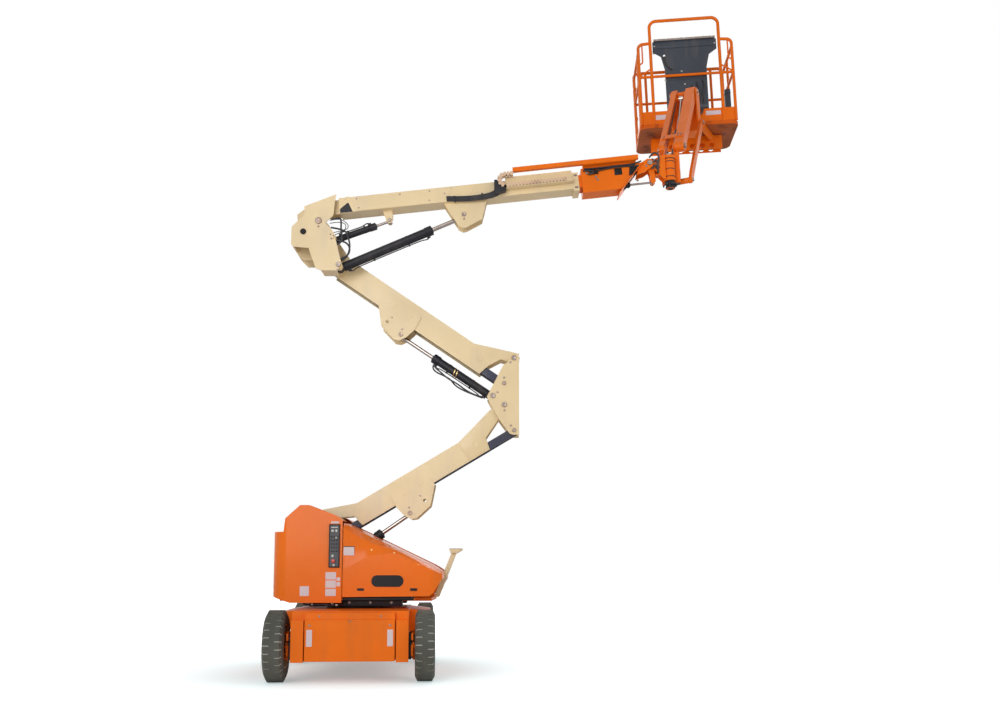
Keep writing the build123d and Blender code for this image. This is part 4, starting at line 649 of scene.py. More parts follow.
# %% [markdown]
# ## Pivot pins
# Every pivot of the tower is a greased pin held by a small keeper bolt. The solids have plain pins, which
# is enough to turn on. Their ends are what shows, so each gets a chamfered steel end with its centre hole,
# and a keeper a few centimetres away. The main boom's own pin is set back in a black bush.

# %% Pins of the tower and the boom
UPRIGHT_FACE = 0.130            # outer faces of the uprights, from the middle of the machine
BRACKET_FACE = 0.112
NEAR_PLATE_FACE = 0.377
LINK_AHEAD, LINK_BELOW = 0.098, -0.260          # from a riser's pin to its link's pin on the same upright


def at_side(spot, out):
    """A pivot's point moved to a face that stands out from the middle plane; near is negative."""
    return Vector((spot.x, SWING_AXIS.y + out, spot.z))


shape = bmesh.new()
MID_PINS = (
    (pivot("mid_upright_level"), 0.026, (0, 0, -0.058)), (pivot("upper_lift"), 0.026, (-0.034, 0, -0.046)),
    (pivot("upper_cylinder_pivot"), 0.026, (0.046, 0, 0.036)),
    (pivot("mid_upright_level") + Vector((LINK_AHEAD, 0, LINK_BELOW)), 0.020, (-0.034, 0, 0.046)),
    (pivot("upper_link_pivot"), 0.020, (0, 0, 0.056)),
)
for spot, radius, keeper in MID_PINS:
    pin_end(shape, at_side(spot, -UPRIGHT_FACE), NEAR, radius, keeper)
    pin_end(shape, at_side(spot, UPRIGHT_FACE), FAR, radius, keeper)
finished("mid_upright_pins", shape, "zinc_bolt", "mid_upright")

shape = bmesh.new()
pin_end(shape, at_side(pivot("tower_head_level"), -NEAR_PLATE_FACE), NEAR, 0.033, (0, 0, -0.058))
pin_end(shape, at_side(pivot("main_cylinder_pivot"), -NEAR_PLATE_FACE), NEAR, 0.026, (-0.010, 0, -0.052))
pin_end(shape, at_side(pivot("tower_head_level"), UPRIGHT_FACE), FAR, 0.026, (0.040, 0, 0.030))
head_link = pivot("tower_head_level") + Vector((-LINK_AHEAD, 0, LINK_BELOW))
pin_end(shape, at_side(head_link, UPRIGHT_FACE), FAR, 0.020, (0, 0, 0.050))
master_foot = at_side(pivot("master_cylinder_pivot"), -NEAR_PLATE_FACE - 0.009)
for step in ((-0.012, 0, 0.020), (0.014, 0, 0.006), (-0.004, 0, -0.022)):
    bolt(shape, master_foot + Vector(step), NEAR, 0.0065)
finished("head_pins", shape, "zinc_bolt", "top_upright")

shape = bmesh.new()
lathe(shape, [(0, 0.029), (0.0115, 0.029), (0.0125, 0.027), (0.0125, 0.021), (0.0108, 0.019), (0.0108, 0)],
      at_side(pivot("main_lift"), -NEAR_PLATE_FACE), NEAR, 24)
finished("boom_pin_bush", shape, "black_film", "top_upright")
print("pin ends of the middle upright", 2 * len(MID_PINS))

# %% [markdown]
# ## Doubler plates of the risers
# Where a riser ends at an upright it is doubled by a plate whose outline shows as a weld line, with round
# plug welds through it. Lines drawn in the paint could stand for them, but a plate a few millimetres proud
# catches the light along its edge as the real one does.

# %% Doublers, plugs and bracket pins
# outline of the doubler, from the riser's upper pin
DOUBLER = [(-0.600, -0.298), (-0.600, -0.100), (-0.590, -0.088), (-0.430, -0.046), (-0.176, 0.026),
           (-0.040, 0.050), (0, 0.060), (0.043, 0.040), (0.060, 0), (0.043, -0.040), (-0.030, -0.060),
           (-0.108, -0.084), (-0.334, -0.190), (-0.362, -0.298)]


def plug(shape, x, z, out, side, radius=0.030):
    """A round plug weld: a low disc with a ring around it."""
    lathe(shape, [(0, radius), (0.0035, radius), (0.005, radius - 0.004), (0.004, radius - 0.008),
                  (0.0045, 0)], (x, side * out, z), (0, side, 0), 26)


shape = bmesh.new()
for side in (-1, 1):
    cut_plate(shape, [(LOWER_LENGTH + x, z) for x, z in DOUBLER], side * 0.0992, side * 0.1045, 0.0012)
    plug(shape, LOWER_LENGTH - 0.456, -0.195, 0.1045, side)
finished("lower_doubler", shape, "cream_paint", "lower_riser", LOWER)
shape = bmesh.new()
for side in (-1, 1):
    plug(shape, UPPER_LENGTH - 0.2785, -0.191, 0.100, side)
finished("upper_plugs", shape, "cream_paint", "upper_riser", UPPER)
for name, place, x, lean in (("lower", LOWER, 0.828, 1), ("upper", UPPER, 1.295, -1)):
    shape = bmesh.new()
    for side in (-1, 1):
        pin_end(shape, (x, side * BRACKET_FACE, -0.450), (0, side, 0), 0.021, (0.02 * lean, 0, 0.052))
        bolt(shape, (x + lean * 0.175, side * BRACKET_FACE, -0.355), (0, side, 0), 0.006)
    finished(name + "_bracket_pins", shape, "zinc_bolt", name + "_riser", place)
print("doublers and brackets done")

# %% [markdown]
# ## Blank plates and latches on the covers
# The moulded covers carry film plates, here all blank, two paddle latches on each side hood, and a long
# black plate with round ends. They could be painted on by the material, but a thin rounded plate, a little
# proud of the skin, keeps its crisp edge and its own gloss.

# %% Plates on the covers
TAIL_FACE = 0.6390              # sides of the tail cover, from the middle
CORNER_PLATE = (-0.548, -0.462, 0.748, 0.839)   # left, right, bottom and top; it is on both sides
NEAR_PLATES = (CORNER_PLATE, (-0.309, -0.210, 0.748, 0.815), (-0.309, -0.210, 0.825, 0.893),
               (-0.309, -0.210, 0.902, 0.970), (-0.205, -0.171, 0.838, 0.878), (-0.205, -0.171, 0.888, 0.920),
               (-0.265, -0.190, 1.428, 1.446))
shape = bmesh.new()
for side, plates in ((-1, NEAR_PLATES), (1, (CORNER_PLATE,))):
    for x0, x1, z0, z1 in plates:
        film(shape, (x0, side * TAIL_FACE, z0), (x1, side * (TAIL_FACE + 0.0022), z1), 0.004)
finished("tail_plates", shape, "label_film", "turntable", TABLE)
for side, body in ((-1, "hood_near"), (1, "hood_far")):
    shape = bmesh.new()
    film(shape, (-0.143, side * 0.6325, 1.127), (-0.044, side * 0.6395, 1.206), 0.004)
    finished(body + "_plate", shape, "label_film", body, TABLE)
    shape = bmesh.new()
    film(shape, (0.122, side * 0.6345, 0.833), (0.423, side * 0.6400, 0.941), 0.052)
    film(shape, (-0.146, side * 0.6325, 1.203), (-0.041, side * 0.6385, 1.212), 0.002)
    for x in (-0.011, 0.487):
        film(shape, (x, side * 0.6300, 0.796), (x + 0.066, side * 0.6405, 0.820), 0.008)
        film(shape, (x + 0.008, side * 0.6300, 0.801), (x + 0.058, side * 0.6425, 0.811), 0.004)
    finished(body + "_latches", shape, "black_film", body, TABLE)
    shape = bmesh.new()
    for x, out, z in ((0.117, 0.6145, 1.179), (0.333, 0.634, 1.150), (0.560, 0.630, 1.040)):
        bolt(shape, (x, side * out, z), (0, side, 0.3), 0.005)
    finished(body + "_screws", shape, "brass_fitting", body, TABLE)
# black strips under the hoods' lower edges, over the orange frame: painted shade of the gap under the hoods
shape = bmesh.new()
for side in (-1, 1):
    block(shape, (-0.150, side * 0.6080, 0.7065), (0.520, side * 0.6135, 0.7255), 0.0015)
finished("hood_gap_painted_shade", shape, "black_film", "turntable", TABLE)
print("tail plates", len(NEAR_PLATES) + 1)

# %% [markdown]
# ## Ground control panel
# Every such machine can be lowered from the ground, so a panel of toggles, gauges and a red stop knob sits
# in the tail. A flat print would do from afar. Here each toggle and knob is turned on the lathe, because
# the panel is at chest height, where people stand close to it.

# %% Ground control panel
PANEL_OUT = -0.652
PANEL_LEFT, PANEL_RIGHT, PANEL_LOW, PANEL_HIGH = -0.281, -0.180, 1.013, 1.419
FRAME = (
    (PANEL_LEFT, PANEL_LEFT + 0.008, PANEL_LOW, PANEL_HIGH),
    (PANEL_RIGHT - 0.008, PANEL_RIGHT, PANEL_LOW, PANEL_HIGH),
    (PANEL_LEFT, PANEL_RIGHT, PANEL_HIGH - 0.010, PANEL_HIGH),
    (PANEL_LEFT, PANEL_RIGHT, PANEL_LOW, PANEL_LOW + 0.010),
)
shape = bmesh.new()
for x0, x1, z0, z1 in FRAME:
    block(shape, (x0, PANEL_OUT - 0.004, z0), (x1, PANEL_OUT + 0.010, z1), 0.0015)
for row in range(5):
    for x in (-0.255, -0.231, -0.206):
        z = 1.300 - 0.034 * row
        lathe(shape, [(0, 0.006), (0.003, 0.006), (0.003, 0.003), (0.010, 0.002), (0.016, 0.003), (0.018, 0)],
              (x, PANEL_OUT, z), (0, -1, 0.35), 10)
finished("ground_panel_frame", shape, "black_film", "turntable", TABLE)
shape = bmesh.new()
GAUGES = ((-0.248, 1.358, 0.009), (-0.212, 1.358, 0.009), (-0.212, 1.294, 0.006), (-0.244, 1.122, 0.009),
          (-0.232, 1.036, 0.008))
for x, z, radius in GAUGES:
    lathe(shape, [(0, radius + 0.003), (0.004, radius + 0.003), (0.005, radius), (0.003, radius - 0.001),
                  (0.003, 0)], (x, PANEL_OUT, z), NEAR, 18)
film(shape, (-0.262, PANEL_OUT - 0.001, 1.386), (-0.200, PANEL_OUT + 0.001, 1.393), 0.002)
finished("ground_panel_gauges", shape, "gauge_face", "turntable", TABLE)
shape = bmesh.new()
lathe(shape, [(0, 0.009), (0.008, 0.009), (0.010, 0.016), (0.015, 0.017), (0.019, 0.013), (0.020, 0)],
      (-0.236, PANEL_OUT, 1.075), NEAR, 20)
block(shape, (-0.244, PANEL_OUT - 0.003, 1.052), (-0.226, PANEL_OUT + 0.002, 1.064), 0.001)
finished("ground_panel_stop", shape, "red_knob", "turntable", TABLE)
print("gauges", len(GAUGES))

# %% [markdown]
# ## Chassis end and drive hubs
# The drive end is closed by a panel with a bolt in each top corner and a blank plate below it. The wheel
# drives are castings: a ring of bolts on a stepped flange, with ribs beside it. A ring of bolts could be an
# array on a turned empty, but a loop over angles keeps them in one mesh.

# %% Chassis fittings
END_FACE = -1.196
AXLE_AT = 1.0                   # both axles, from the slew axis
shape = bmesh.new()
for side in (-1, 1):
    bolt(shape, (side * 0.352, END_FACE, 0.507), NEAR, 0.007)
    bolt(shape, (side * 0.270, END_FACE + 0.024, 0.585), NEAR, 0.006)
bolt(shape, (0, END_FACE, 0.540), NEAR, 0.006)
finished("chassis_bolts", shape, "zinc_bolt", "chassis", CHASSIS)
shape = bmesh.new()
for x in (-0.353, 0.353):
    film(shape, (x - 0.025, END_FACE - 0.0015, 0.324), (x + 0.025, END_FACE + 0.001, 0.469), 0.004)
finished("chassis_plates", shape, "label_film", "chassis", CHASSIS)
shape = bmesh.new()
for side in (-1, 1):
    centre = Vector((side * 0.548, -AXLE_AT, WHEEL_RADIUS))
    out = Vector((side, 0, 0))
    lathe(shape, [(0, 0.117), (0, 0.126), (0.010, 0.130), (0.018, 0.126), (0.020, 0.117)], centre, out, 40)
    lathe(shape, [(0.030, 0.116), (0.031, 0.121), (0.040, 0.121), (0.041, 0.116)], centre, out, 40)
    for turn in range(0, 360, 30):
        spoke = Matrix.Rotation(math.radians(turn), 3, "X") @ Vector((0, 0.122, 0))
        bolt(shape, centre + spoke + out * 0.018, out, 0.008)
    block(shape, centre + Vector((-0.010, -0.170, 0.050)), centre + Vector((0.012, -0.060, 0.120)), 0.014, 3)
    block(shape, centre + Vector((-0.012, -0.150, -0.090)), centre + Vector((0.010, -0.075, 0.020)), 0.016, 3)
finished("drive_castings", shape, "orange_paint", "chassis", CHASSIS, 40.0)
print("chassis fittings done")

# %% [markdown]
# ## Under the turntable
# Between the chassis and the covers sit the black bearing shroud, and under the tail the swing motor with
# its valve block, fittings and hoses. It is a dark gap from afar. Plain blocks would fill it, but the hoses
# that loop out of it are what the eye finds, so they are real.

# %% Shroud, swing motor and hoses
shape = bmesh.new()
block(shape, (-0.190, -0.510, 0.646), (0.400, -0.395, 0.722), 0.010, 2)
block(shape, (-0.150, 0.395, 0.646), (0.360, 0.500, 0.722), 0.010, 2)
block(shape, (-0.480, -0.520, 0.646), (-0.330, -0.400, 0.690), 0.006, 2)
for x, radius in ((-0.440, 0.018), (-0.395, 0.014), (-0.355, 0.018)):
    lathe(shape, [(0, radius), (0.030, radius), (0.032, radius * 0.7), (0.050, radius * 0.7), (0.052, 0)],
          (x, -0.520, 0.670), NEAR, 16)
lathe(shape, [(0, 0.026), (0.05, 0.026), (0.055, 0.022), (0.11, 0.022), (0.115, 0)], (-0.300, -0.470, 0.668),
      (1, -0.3, 0), 24)
finished("shroud_and_valves", shape, "black_paint", "turntable", TABLE)
shape = bmesh.new()
for x, z in ((-0.440, 0.670), (-0.355, 0.670), (-0.250, 0.676), (-0.210, 0.662)):
    lathe(shape, [(0, 0.012), (0.016, 0.012), (0.018, 0.009), (0.026, 0.009), (0.027, 0)],
          (x, -0.568, z), NEAR, 6)
for x in (-0.100, 0.100, 0.300):
    bolt(shape, (x, -0.511, 0.684), NEAR, 0.008)
finished("turntable_fittings", shape, "zinc_bolt", "turntable", TABLE)
UNDER_TAIL = [
    [(-0.440, -0.575, 0.670), (-0.400, -0.600, 0.668), (-0.330, -0.590, 0.664), (-0.290, -0.540, 0.672),
     (-0.200, -0.520, 0.690)],
    [(-0.395, -0.570, 0.668), (-0.350, -0.600, 0.674), (-0.270, -0.600, 0.660), (-0.220, -0.560, 0.656),
     (-0.150, -0.500, 0.670)],
    [(-0.355, -0.575, 0.672), (-0.320, -0.590, 0.684), (-0.250, -0.575, 0.682), (-0.180, -0.530, 0.700)],
    [(-0.480, -0.480, 0.660), (-0.540, -0.500, 0.668), (-0.560, -0.420, 0.680), (-0.500, -0.360, 0.700)],
]
hoses("under_tail_hoses", "turntable", 0.009, UNDER_TAIL, TABLE)
print("hoses under the tail", len(UNDER_TAIL))

# %% [markdown]
# ## Hydraulic cylinders
# Each barrel ends in a gland nut with a wiper around the rod. A steel pipe runs along the barrel from the
# port at the gland back to the base, held by two clamps. The six cylinders differ only in size, so one
# function dresses them all, in a frame along the cylinder's own line that comes from its stroke joint.

# %% Helper that dresses a cylinder


def along(base, stroke):
    """A frame at a cylinder's base pin, with X along its stroke and Z across it, away from the pipe."""
    line = Vector(joints[stroke]["axis"]).normalized()
    across = Vector(joints[base]["axis"]).normalized()
    third = line.cross(across)
    turn = Matrix((line, across, third)).transposed().to_4x4()
    return Matrix.Translation(pivot(base)) @ turn


def dress_cylinder(name, barrel, bore, rod, pipe_side, lip=0.008):
    """Gland, wiper, ports, clamps and pipe of one barrel."""
    place = along(name + "_pivot", name + "_stroke")
    body = joints[name + "_pivot"]["child"]
    shape = bmesh.new()
    end = barrel - 0.001
    lathe(shape, [(end - 0.072, bore + lip * 0.4), (end - 0.070, bore + lip), (end - 0.046, bore + lip),
                  (end - 0.044, bore + lip * 0.6), (end - 0.040, bore + lip * 0.6), (end - 0.038, bore + lip),
                  (end - 0.004, bore + lip), (end + 0.001, bore + lip * 0.4), (end + 0.002, rod + 0.010),
                  (end + 0.008, rod + 0.008), (end + 0.009, rod + 0.001)], (0, 0, 0), (1, 0, 0), 28)
    ring = bore + lip * 0.4
    for share in (0.34, 0.72):
        x0, x1 = barrel * share, barrel * share + 0.018
        lathe(shape, [(x0, bore - 0.001), (x0, ring), (x1, ring), (x1, bore - 0.001)],
              (0, 0, 0), (1, 0, 0), 24)
        block(shape, (x0, -0.012, pipe_side * bore), (x1, 0.012, pipe_side * (bore + 0.018)), 0.002)
    ports = (0.085, barrel - 0.060)
    foot, top = pipe_side * (bore - 0.006), pipe_side * (bore + 0.016)
    for x in ports:
        block(shape, (x - 0.018, -0.018, foot), (x + 0.018, 0.018, top), 0.003)
    finished(name + "_gland", shape, "black_paint", body, place)
    start, run, high = (pipe_side * (bore + out) for out in (0.0, 0.011, 0.024))
    route = [(ports[0], 0, start), (ports[0], 0, high), (0.13, 0, high), (0.16, 0, run),
             (barrel * 0.5, 0, run), (barrel - 0.13, 0, run), (barrel - 0.10, 0, high),
             (ports[1], 0, high), (ports[1], 0, start)]
    hoses(name + "_pipe", body, 0.0055, [route], place, "black_paint")
    return place, body


print("cylinder helper ready")

# %% Glands, ports and pipes
CYLINDER_SIZES = {
    # barrel length, bore, rod radius, side of the pipe, height of the gland
    "lower_cylinder": (0.715, 0.042, 0.020, 1), "upper_cylinder": (0.740, 0.042, 0.020, 1),
    "main_cylinder": (1.010, 0.046, 0.022, 1, 0.004), "master_cylinder": (0.455, 0.033, 0.013, -1, 0.003),
    "slave_cylinder": (0.330, 0.022, 0.011, 1), "jib_cylinder": (0.890, 0.030, 0.015, 1, 0.005),
}
dressed = {name: dress_cylinder(name, *size) for name, size in CYLINDER_SIZES.items()}
print("cylinders dressed", len(dressed))

# %% [markdown]
# ## Hoses of the upper cylinder
# The upper riser's cylinder hangs in plain sight, and its two hoses sag along it under cable ties. A
# simulated rope would settle too evenly. The few points of each route are listed one by one, because hoses
# keep the bends that the fitter gave them.

# %% Long hoses of the upper riser's cylinder
place, body = dressed["upper_cylinder"]
UPPER_LIFT_HOSES = [
    [(0.700, 0.020, 0.048), (0.700, 0.020, 0.085), (0.640, 0.025, 0.105), (0.560, 0.020, 0.090),
     (0.470, 0.020, 0.082), (0.400, 0.025, 0.110), (0.300, 0.020, 0.105), (0.200, 0.020, 0.085),
     (0.090, 0.020, 0.060)],
    [(0.690, -0.018, 0.050), (0.680, -0.020, 0.075), (0.600, -0.020, 0.080), (0.500, -0.020, 0.098),
     (0.380, -0.020, 0.086), (0.270, -0.020, 0.095), (0.150, -0.020, 0.080), (0.080, -0.020, 0.050)],
]
hoses("upper_lift_hoses", body, 0.008, UPPER_LIFT_HOSES, place)
shape = bmesh.new()
for x in (0.440, 0.470):
    lathe(shape, [(0, 0.044), (0, 0.047), (0.009, 0.047), (0.009, 0.044)], (x, 0, 0), (1, 0, 0.25), 28)
finished("upper_lift_straps", shape, "brass_fitting", body, place)
print("cylinder hoses", len(UPPER_LIFT_HOSES))

# %% [markdown]
# ## Main boom
# The rear of the boom wears a bolted side cover. From under it a flat bundle of hoses runs forward along
# the tube and climbs through a black guide to the cable carrier. Five separate hoses could be drawn, but
# they lie side by side like strings, so one formula places them row by row.

# %% Boom fasteners and hoses
COVER_FACE = -0.108
shape = bmesh.new()
for x, z in ((0.560, 0.292), (0.575, 0.196), (1.000, 0.290), (1.300, 0.292), (1.290, 0.196), (1.450, 0.250)):
    bolt(shape, (x, COVER_FACE, z), NEAR, 0.0055)
for side in (-1, 1):
    pin_end(shape, (1.623, side * 0.072, 0.026), (0, side, 0), 0.022, (-0.004, 0, -0.046))
    pin_end(shape, (0.866, side * 0.038, 0.060), (0, side, 0), 0.018)
for x in (2.780, 2.795):
    bolt(shape, (x, -0.101, 0.175), NEAR, 0.007)
    bolt(shape, (x, -0.101, 0.300), NEAR, 0.007)
finished("boom_bolts", shape, "zinc_bolt", "main_boom", BOOM)
shape = bmesh.new()
for x in (1.585, 1.710):
    plug(shape, x, 0.252, 0.100, -1, 0.026)
cut_plate(shape, [(0.452, 0.322), (0.488, 0.322), (0.548, 0.160), (0.512, 0.160)], -0.1095, -0.1075, 0.0008)
finished("boom_plugs", shape, "cream_paint", "main_boom", BOOM)
BUNDLE = [[(1.465, -0.104 - 0.004 * row, 0.172 + 0.0095 * row), (1.620, -0.108, 0.152 + 0.0110 * row),
           (1.780, -0.108, 0.146 + 0.0115 * row), (1.920, -0.116, 0.152 + 0.0120 * row),
           (1.985, -0.135, 0.166 + 0.0170 * row), (2.005 - 0.008 * row, -0.142, 0.205 + 0.0200 * row),
           (2.060, -0.142, 0.240)] for row in range(5)]
hoses("boom_hose_bundle", "main_boom", 0.0072, BUNDLE, BOOM)
shape = bmesh.new()
cut_plate(shape, [(1.955, 0.164), (2.072, 0.196), (2.072, 0.222), (2.025, 0.232), (1.990, 0.316),
                  (1.962, 0.316), (1.950, 0.200)], -0.1690, -0.1040, 0.004)
for x in (1.540, 1.820):
    block(shape, (x, -0.124, 0.146), (x + 0.014, -0.100, 0.212), 0.003)
# black plate on the tube's face beside the cover's edge: painted shade of the dark space behind the cover
cut_plate(shape, [(0.383, 0.165), (0.384, 0.205), (0.465, 0.262), (0.490, 0.250), (0.520, 0.165)],
          -0.1025, -0.0985, 0.0008)
finished("boom_hose_guide_and_painted_shade", shape, "black_paint", "main_boom", BOOM)
print("boom hoses", len(BUNDLE))

# %% [markdown]
# ## Cable carrier
# The fly section's cables ride in a chain of pale nylon links that lies in a tray and turns back over
# itself at the rear. An array along a curve could lay it, but a bent array shears the links. Here each link
# is made flat, then set at its own station on two straight runs and a half turn. The chain replaces the
# plain band of the solid.

# %% Cable carrier of links
PITCH = 0.034
LOW_RUN = 0.2480                # middle of the lower run, above the boom's pivot line
BEND_AT, BEND_RADIUS = 2.075, 0.060
LINK = 0.022                    # half height of a link
LINK_SIDE = [(-0.0145, -0.014), (-0.008, -LINK), (0.008, -LINK), (0.0145, -0.014), (0.0145, 0.012),
             (0.007, LINK), (-0.007, LINK), (-0.0145, 0.012)]
CARRIER_NEAR, CARRIER_FAR = -0.170, -0.112
UP_RUN = LOW_RUN + 2 * BEND_RADIUS
BEND_STEPS = 6
stations = [(2.675 - PITCH * step, LOW_RUN, 180.0) for step in range(18)]
for step in range(1, BEND_STEPS):
    angle = math.radians(-90 - 180 * step / BEND_STEPS)
    stations.append((BEND_AT + BEND_RADIUS * math.cos(angle), LOW_RUN + BEND_RADIUS * (1 + math.sin(angle)),
                     180 - 180 * step / BEND_STEPS))
stations += [(BEND_AT + PITCH * step, UP_RUN, 0.0) for step in range(3)]
shape = bmesh.new()
for x, z, lean in stations:
    link = bmesh.new()
    for y0, y1 in ((CARRIER_NEAR, CARRIER_NEAR + 0.006), (CARRIER_FAR - 0.006, CARRIER_FAR)):
        cut_plate(link, LINK_SIDE, y0, y1, 0.0012)
    for height in (-0.0195, 0.0195):
        block(link, (-0.011, CARRIER_NEAR + 0.004, height - 0.002),
              (0.011, CARRIER_FAR - 0.004, height + 0.002), 0.001, 1)
    lathe(link, [(0, 0.007), (0.002, 0.007), (0.003, 0.005), (0.003, 0)], (0.015, CARRIER_NEAR, 0), NEAR, 10)
    bmesh.ops.transform(link, matrix=lifted((x, 0, z), lean), verts=link.verts)
    spare = bpy.data.meshes.new("link")
    link.to_mesh(spare)
    link.free()
    shape.from_mesh(spare)
    bpy.data.meshes.remove(spare)
carrier = finished("cable_carrier_links", shape, "carrier_link", "main_boom", BOOM)
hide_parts("cable_carrier")
CABLES = [[(2.690, y, LOW_RUN), (2.400, y, LOW_RUN), (2.090, y, LOW_RUN), (2.032, y, LOW_RUN + 0.018),
           (2.015, y, LOW_RUN + 0.060), (2.032, y, UP_RUN - 0.018), (2.090, y, UP_RUN), (2.160, y, UP_RUN)]
          for y in (-0.158, -0.141, -0.124)]
hoses("carrier_cables", "main_boom", 0.0065, CABLES, BOOM)
print("carrier links", len(stations))

# %% [markdown]
# ## Tray of the carrier
# The chain lies on a folded sheet with a low lip in front and a high side against the boom. Solidify on a
# bent strip would make it too. Four thin blocks are simpler, because each fold is square.

# %% Tray with a low lip
TRAY_START, TRAY_END = 2.075, 2.753
TRAY_NEAR, TRAY_FAR, TRAY_FLOOR = -0.178, -0.1003, 0.220
SHEETS = (
    # start, end, near and far edge, foot and top from the tray's floor
    (TRAY_START, TRAY_END, TRAY_NEAR, TRAY_FAR, 0.0, 0.003),
    (TRAY_START, TRAY_END, TRAY_NEAR, TRAY_NEAR + 0.004, -0.001, 0.006),
    (TRAY_END - 0.004, TRAY_END, TRAY_NEAR, TRAY_FAR, 0.0, 0.046),
    (TRAY_START, TRAY_END, TRAY_FAR - 0.005, TRAY_FAR, 0.0, 0.135),
)
shape = bmesh.new()
for x0, x1, y0, y1, foot, top in SHEETS:
    block(shape, (x0, y0, TRAY_FLOOR + foot), (x1, y1, TRAY_FLOOR + top), 0.0012, 1)
# clamp that holds the chain's fixed end
block(shape, (2.690, TRAY_NEAR + 0.006, TRAY_FLOOR + 0.003),
      (TRAY_END - 0.004, TRAY_FAR, TRAY_FLOOR + 0.030), 0.004)
tray = finished("low_tray", shape, "cream_paint", "main_boom", BOOM)
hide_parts("cable_tray")
print("tray length", round(TRAY_END - TRAY_START, 3))

# %% [markdown]
# ## Hoses of the tower head
# Between the head's plates the hoses of the boom's cylinders hang in loops, with a valve block behind them.
# Their points are listed one by one as on the upper cylinder. All of them stay in a thin layer beside the
# cylinders, so that nothing meets when the boom is raised.

# %% Hoses behind the tower head
HEAD_HOSES = [
    [(0.120, -0.352, 0.020), (0.215, -0.352, 0.050), (0.225, -0.350, -0.010), (0.222, -0.348, -0.090),
     (0.240, -0.346, -0.160), (0.220, -0.345, -0.230), (0.140, -0.345, -0.260)],
    [(0.120, -0.346, -0.060), (0.255, -0.346, -0.080), (0.290, -0.345, -0.140), (0.318, -0.345, -0.240),
     (0.305, -0.345, -0.330), (0.260, -0.345, -0.395), (0.180, -0.345, -0.420)],
    [(0.130, -0.350, -0.190), (0.240, -0.350, -0.200), (0.300, -0.350, -0.235), (0.320, -0.350, -0.300),
     (0.285, -0.350, -0.370), (0.190, -0.350, -0.400)],
]
hoses("head_hoses", "top_upright", 0.009, HEAD_HOSES, HEAD)
HEAD_WIRES = [
    [(0.110, -0.356, 0.010), (0.200, -0.356, 0.030), (0.262, -0.356, 0.000), (0.300, -0.356, -0.040),
     (0.290, -0.356, -0.080), (0.240, -0.356, -0.095), (0.130, -0.354, -0.120)],
    [(0.110, -0.354, -0.020), (0.210, -0.354, 0.000), (0.275, -0.354, -0.030), (0.270, -0.354, -0.080),
     (0.220, -0.354, -0.115), (0.140, -0.354, -0.150)],
]
hoses("head_wires", "top_upright", 0.004, HEAD_WIRES, HEAD)
shape = bmesh.new()
block(shape, (0.020, -0.360, -0.275), (0.105, -0.310, -0.185), 0.006)
for z in (-0.255, -0.230, -0.205):
    lathe(shape, [(0, 0.011), (0.020, 0.011), (0.022, 0.008), (0.034, 0.008), (0.035, 0)], (0.105, -0.335, z),
          (1, 0, 0), 6)
finished("head_valve_block", shape, "machined_steel", "top_upright", HEAD)
print("head hoses", len(HEAD_HOSES), "wires", len(HEAD_WIRES))

# %% [markdown]
# ## Fly section
# Under the fly's top rail runs a strip of hoses, with a clamp and two bolts beside a square hole. A hole
# could be cut, but a black block set into the tube paints the shade in it, and a long black strip under the
# rail paints the shade beneath the rail.

# %% Fly fittings
FLY_FACE = -0.098
shape = bmesh.new()
# black block set into the face: painted shade in the square hole
block(shape, (3.186, FLY_FACE - 0.002, 0.258), (3.266, FLY_FACE + 0.018, 0.330), 0.003)
block(shape, (2.930, FLY_FACE - 0.022, 0.290), (3.020, FLY_FACE, 0.330), 0.006)
# long black strip under the top rail: painted shade beneath the rail
block(shape, (2.900, FLY_FACE - 0.010, 0.338), (3.400, FLY_FACE, 0.352), 0.003)
cut_plate(shape, [(3.330, 0.240), (3.400, 0.250), (3.430, 0.345), (3.345, 0.340)],
          FLY_FACE - 0.003, FLY_FACE + 0.001)
finished("fly_clamp_and_painted_shade", shape, "black_film", "fly_boom", BOOM)
shape = bmesh.new()
for x, z in ((2.995, 0.262), (3.010, 0.232), (2.905, 0.312), (3.300, 0.350), (3.410, 0.180)):
    bolt(shape, (x, FLY_FACE, z), NEAR, 0.008)
finished("fly_bolts", shape, "zinc_bolt", "fly_boom", BOOM)
FLY_HOSES = [
    [(2.880, -0.112, 0.352), (3.020, -0.114, 0.346), (3.200, -0.112, 0.352), (3.400, -0.110, 0.350),
     (3.470, -0.100, 0.380)],
    [(2.870, -0.110, 0.335), (2.940, -0.118, 0.330), (2.975, -0.124, 0.312), (2.960, -0.122, 0.285),
     (2.915, -0.108, 0.295)],
    [(3.020, -0.116, 0.320), (3.120, -0.110, 0.336), (3.300, -0.108, 0.340), (3.440, -0.104, 0.330)],
]
hoses("fly_hoses", "fly_boom", 0.008, FLY_HOSES, BOOM)
shape = bmesh.new()
for side in (-1, 1):
    pin_end(shape, (3.560, side * 0.076, 0.361), (0, side, 0), 0.026, (-0.040, 0, -0.030))
finished("level_pins", shape, "zinc_bolt", "fly_boom", BOOM)
print("fly hoses", len(FLY_HOSES))

# %% [markdown]
# ## Jib mount and swing motor
# At the boom's end the hoses loop over the level pivot to the rotary actuator that swings the jib. Its
# rings and its motor are turned parts. They could be one with the housing, but the motor turns with the
# swivel and the rings stay with the mount, so each rides on its own body.

